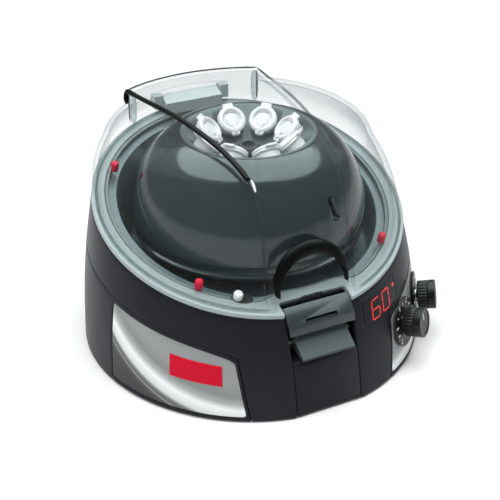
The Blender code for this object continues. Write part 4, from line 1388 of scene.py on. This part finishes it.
def build_strip(profile):
    """Painted light on the lid: a black strip along the band's left edge, which stands in for the dark
    reflection of the clear lid's edge there, and a painted white glint at its front end.
    """
    # The black strip, with its curled tail at the back, is a painted dark reflection, not a part of the
    # moulding.
    path = band_edge(profile, -1, -0.0003, band_back(), -0.0440, 0.0010)
    head = path[0]
    tail = [head + Vector((-0.0010, -0.0006, -0.0060)), head + Vector((-0.0006, 0.0006, -0.0025))]
    painted_dark_strip = bead("lid_painted_dark_strip", smooth_path(tail + path, 3), 0.0024, 0.0019, 14,
                 taper=lambda share: 1.35 - 0.35 * min(1, share * 6))
    finished(painted_dark_strip, GLOSS_BLACK, "lid", "black_plastic")
    # The white tip is a painted glint.
    glint = band_edge(profile, -1, 0.0008, -0.0425, -0.0475, 0.0006)
    tip = bead("lid_painted_glint_tip", glint, 0.0016, 0.0014, 12)
    finished(tip, WHITE, "lid", "white_plastic")


def build_side_lines(profile):
    """The band's right edge line, whose back part is a painted dark reflection, and the beads and upright
    corners on both of its sides, where a painted dark line marks each corner.
    """
    # The first, dark part of the right edge line is a painted dark reflection.
    for name, start, end, finish in (
        ("dark", band_back(), 0.0330, PAINTED_DARK_EDGE), ("clear", 0.0330, -0.0400, EDGE),
    ):
        path = smooth_path(band_edge(profile, 1, 0.0006, start, end, 0.0007), 2)
        lid_line("lid_right_line_" + name, path, 0.0008, 0.0008, 10, finish)
    for side, name in ((-1, "left"), (1, "right")):
        front = band_edge(profile, side, 0.0005, -0.0430, -0.0590)
        front = smooth_path([spot + Vector((0, 0.0005, -0.0002)) for spot in front], 2)
        lid_line("lid_front_bead_" + name, front, 0.0009, 0.0009, 10, EDGE)
        post = [back_corner(side, 0.0022, z) for z in (*CORNER_HEIGHTS, 0.0995)]
        lid_line("lid_corner_post_" + name, post, 0.0036, 0.0036, 20, EDGE)
        # The corner lines are painted dark reflections.
        edge = [back_corner(side, 0.0006, z) for z in (*CORNER_HEIGHTS, 0.0993)]
        lid_line("lid_corner_line_" + name, edge, 0.0007, 0.0007, 8, PAINTED_DARK_EDGE)


def build_round_lines(profile):
    """The painted dark line over the round back wall, a dark reflection of its top edge, and the bead along
    the foot, open at the front.
    """
    radius = SHOULDER_RADIUS - 0.0007
    corners = (back_corner(side, 0.0007, 0) for side in (-1, 1))
    start, end = (math.atan2(spot.y - SHOULDER_Y, spot.x) for spot in corners)
    spots = []
    for turn in between(start, end, 48):
        y = SHOULDER_Y + radius * sin(turn)
        spots.append(Vector((radius * cos(turn), y, band_top(profile, y) - 0.0006)))
    # A painted dark reflection along the back wall's top edge.
    lid_line("lid_back_line", spots, 0.0008, 0.0008, 8, PAINTED_DARK_EDGE)
    turns = between(radians(18), 2 * pi - radians(18), 120)
    foot = [rim_point(turn, LID_FOOT - 0.0009, LID_FOOT_LIFT + 0.0007) for turn in turns]
    lid_line("lid_foot_bead", foot, 0.0010, 0.0009, 8, EDGE, up=RIM_NORMAL)


def build_grip():
    """An arched finger grip that stands proud of the lid's front face."""
    foot = Vector((0, *BAND_PROFILE[-1]))
    up = (Vector((0, *BAND_PROFILE[-2])) - foot).normalized()
    base = foot + up * 0.0022
    normal = Vector((0, -up.z, up.y))
    loops = []
    steps = 48
    for step in range(steps + 1):
        angle = pi * step / steps
        thick = 0.0010 + 0.0048 * sin(angle)
        outer = 0.0168 + 0.0046 * sin(angle)
        across = Vector((cos(angle), 0, 0))
        way = across + up * sin(angle)
        ring = []
        for share, proud in ((0.0, 0.0003), (0.0, 0.0011), (0.10, 0.0018), (0.30, 0.0026), (0.55, 0.0031),
                             (0.85, 0.0033), (1.0, 0.0028), (1.0, 0.0003)):
            ring.append(base + way * (outer - thick * share) + normal * proud)
        loops.append(ring)
    grip = stacked("lid_finger_grip", loops, 40)
    finished(grip, GLOSS_BLACK, "lid", "black_plastic", "lid_grip")


# ---- rotor ----------------------------------------------------------------------------------------


def build_rotor():
    """The turned dome with its well, eight slanted holes and a shallow slot, and the nut on top."""
    bore = SHAFT_RADIUS + 0.0003
    shoulder = []
    for degrees in range(12, 91, 3):
        turn = radians(degrees)
        shoulder.append((0.0303 + 0.0225 * sin(turn) ** 1.25, 0.0608 + 0.0372 * cos(turn)))
    well = [(bore, 0.0840), (0.0140, 0.0840, 0.001), (0.0283, 0.0978, 0.0004), (0.0310, 0.0980, 0.0008)]
    skirt = [
        (0.0528, 0.0585, 0.0005), (0.0508, 0.0575, 0.0004), (0.0508, 0.0542, 0.0004),
        (0.0522, 0.0534, 0.0004), (0.0517, 0.0518, 0.0003), (0.0480, 0.0518), (0.0465, 0.0550),
        (0.0465, 0.0600), (0.0300, 0.0600), (0.0280, 0.0480), (bore, 0.0480),
    ]
    rotor = turned("rotor_body", well + shoulder + skirt, 128, ring=True)
    hole = [(0, 0.0060), (TUBE_HOLE, 0.0060), (TUBE_HOLE, -0.0400), (0, -0.0400)]
    for number in range(TUBES):
        seat, axis, _ = tube_seat(number)
        cut(rotor, turned("hole", hole, 32, seat, axis))
    out = outward(SLOT_AZIMUTH)
    spot = out * 0.0475 + Vector((0, 0, 0.0765))
    slot = block("dome_slot", (0.0038, 0.0100, 0.0112), spot, SLOT_AZIMUTH, radians(16))
    roll = Matrix.Rotation(SLOT_ROLL, 4, out)
    slot.data.transform(Matrix.Translation(spot) @ roll @ Matrix.Translation(-spot))
    rounded(slot, 0.0018, 4)
    cut(rotor, slot)
    finished(rotor, ROTOR_SLATE, "rotor", "slate_plastic", "rotor")

    def flutes(turn, radius, _):
        return radius - 0.0003 * (0.5 + 0.5 * cos(16 * turn)) if radius > 0.005 else radius

    hub = [
        (bore, 0.0910), (0.0044, 0.0910, 0.0006), (0.0060, 0.0895, 0.0005), (0.0064, 0.0843, 0.0003),
        (bore, 0.0843),
    ]
    nut = turned("rotor_cap_nut", hub, 48, ring=True, wave=flutes)
    finished(nut, BLACK, "rotor", "black_plastic", "rotor_nut")


def tube_seat(number):
    """A tube's seat, its axis and the way out from the rotor's middle."""
    azimuth = TUBE_PHASE + 2 * pi * number / TUBES
    out = outward(azimuth)
    seat = out * CAP_CENTRE_R + Vector((0, 0, CAP_CENTRE_Z))
    axis = out * -sin(TUBE_TILT) + Vector((0, 0, cos(TUBE_TILT)))
    return seat, axis, out


def build_tubes():
    """Flip-cap microtubes: a tapered body, a collar, a padded cap, a thumb tab and a hinge strap."""
    for number in range(TUBES):
        seat, axis, out = tube_seat(number)
        profile = [
            (0, 0.0003), (0.0030, 0.0003, 0.0004), (0.0035, -0.0004, 0.0003), (0.0040, -0.0004, 0.0003),
            (0.0045, 0.0010, 0.0004), (0.0057, 0.0010, 0.0008), (0.0065, 0.0002, 0.0005),
            (0.0065, -0.0003, 0.0002), (0.0062, -0.0005, 0.0001), (0.0062, -0.0007, 0.0001),
            (0.0065, -0.0009, 0.0002), (0.0065, -0.0014, 0.0002), (0.0060, -0.0018, 0.0002),
            (0.0054, -0.0018, 0.0002), (0.0053, -0.0050), (0.0052, -0.0200, 0.002),
            (0.0020, -0.0360, 0.001), (0, -0.0370),
        ]
        tube = turned("tube_body", profile, 48)
        tab = block("tab", (0.0050, 0.0046, 0.0012), (0, -0.0056, -0.00005), bevel=0.0005)
        bar = block("bar", (0.0014, 0.0044, 0.0008), (0, 0.0044, 0.0009), bevel=0.0003)
        strap = block("strap", (0.0040, 0.0022, 0.0022), (0, 0.0066, -0.0006), bevel=0.0007)
        join(tube, tab, bar, strap)
        # Local -Y is the tab's way: outwards, up the cone.
        up_slope = (out - axis * out.dot(axis)).normalized()
        turn = Matrix((axis.cross(up_slope), -up_slope, axis)).transposed()
        tube.data.transform(Matrix.Translation(seat) @ turn.to_4x4())
        tube.name = "tube_%d" % (number + 1)
        finished(tube, WHITE, "rotor", "white_plastic", "microtube_%d" % (number + 1))


# ---- CAD nodes that stay --------------------------------------------------------------------------


def dress(node, finish, bevel):
    """A CAD node that stays, with its own finish and softly rounded edges."""
    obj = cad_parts[node]
    obj.data.materials.clear()
    obj.data.materials.append(finish)
    if bevel:
        rounding = obj.modifiers.new("rounding", "BEVEL")
        rounding.width = bevel
        rounding.segments = 2
        rounding.limit_method = "ANGLE"
        rounding.angle_limit = radians(40)


def dress_nodes():
    """The finish and the edge rounding of every CAD node that stays."""
    feet = ["foot_%d" % number for number in range(1, 5)]
    posts = ["motor_post_%d" % number for number in range(1, 4)]
    for finish, bevel, nodes in (
        (RUBBER, 0.0004, feet),
        (RUBBER, 0.0003, posts),
        (RUBBER, 0.0, ["shaft_seal"]),
        (BLACK, 0.0002, ["bottom_cover", "power_supply", "interlock_switch", "led_module"]),
        (BLACK, 0.0003, ["power_inlet", "switch_frame"]),
        (STEEL, 0.0001, ["motor", "motor_plate", "drive_shaft", "hinge_pin", "latch_pin", "lid_strike"]),
        (STEEL, 0.0001, ["speed_potentiometer", "timer_potentiometer"]),
        (HINGE_GREY, 0.0003, ["hinge_block", "lid_hinge_left", "lid_hinge_right"]),
        (BOARD, 0.0, ["control_board", "display_board"]),
        (RED_RUBBER, 0.0006, ["power_rocker"]),
    ):
        for node in nodes:
            dress(node, finish, bevel)


# ---- camera, light and floor ----------------------------------------------------------------------


def look_back(azimuth, elevation):
    """The way from what is looked at to a camera or a lamp, from its azimuth and elevation in degrees."""
    turn, rise = radians(azimuth), radians(elevation)
    return Vector((sin(turn) * cos(rise), -cos(turn) * cos(rise), sin(rise)))


def build_floor():
    """A plain pale floor, which isn't part of the object."""
    mesh = bpy.data.meshes.new("floor")
    mesh.from_pydata([(-3, -3, 0), (3, -3, 0), (3, 3, 0), (-3, 3, 0)], [], [(0, 1, 2, 3)])
    paint = bpy.data.materials.new("floor_paint")
    paint.use_nodes = True
    inputs = paint.node_tree.nodes["Principled BSDF"].inputs
    inputs["Base Color"].default_value = (0.93, 0.93, 0.93, 1)
    inputs["Roughness"].default_value = 0.9
    inputs["Specular IOR Level"].default_value = 0.0
    mesh.materials.append(paint)
    ground = linked("floor", mesh)


def build_lights():
    """A pale sky and area lamps; only the last of them shows in reflections."""
    world = bpy.data.worlds.new("studio")
    bpy.context.scene.world = world
    world.use_nodes = True
    inputs = world.node_tree.nodes["Background"].inputs
    inputs["Color"].default_value = (0.93, 0.96, 1.0, 1)
    inputs["Strength"].default_value = 0.25
    bpy.context.scene.view_settings.view_transform = "Standard"
    middle = AXIS + Vector((0, 0, 0.05))
    for name, (azimuth, elevation, distance, size, power) in LIGHTS.items():
        reflected = name == "gloss_only"
        lamp = bpy.data.lights.new(name, "AREA")
        lamp.shape = "ELLIPSE" if reflected else "RECTANGLE"
        lamp.size, lamp.size_y = size
        lamp.energy = power
        lamp.color = COOL_LIGHT if reflected else WHITE_LIGHT
        obj = linked(name, lamp)
        back = look_back(azimuth, elevation)
        obj.location = middle + back * distance
        obj.rotation_euler = (-back).to_track_quat("-Z", "Y").to_euler()
        obj.visible_glossy = reflected
        obj.visible_diffuse = not reflected


def build_camera():
    """The photograph's viewpoint: 26 degrees left of the front and 30 degrees up."""
    back = look_back(-26.0, 30.4)
    target = AXIS + Vector((0.0007, 0, 0.0365))
    lens = bpy.data.cameras.new("camera")
    lens.sensor_width = 36
    lens.lens = 77.0
    lens.clip_start = 0.01
    camera = linked("camera", lens)
    camera.location = target + back * 0.5
    camera.rotation_mode = "QUATERNION"
    camera.rotation_quaternion = (-back).to_track_quat("-Z", "Y")
    bpy.context.scene.camera = camera


build_camera()
build_floor()
build_lights()
build_upper_housing()
build_lower_housing()
build_plates()
build_digits()
build_dials()
build_knobs()
build_rim()
build_bowl()
build_pins()
build_front()
lid_profile = build_lid()
build_strip(lid_profile)
build_side_lines(lid_profile)
build_round_lines(lid_profile)
build_grip()
build_rotor()
build_tubes()
dress_nodes()
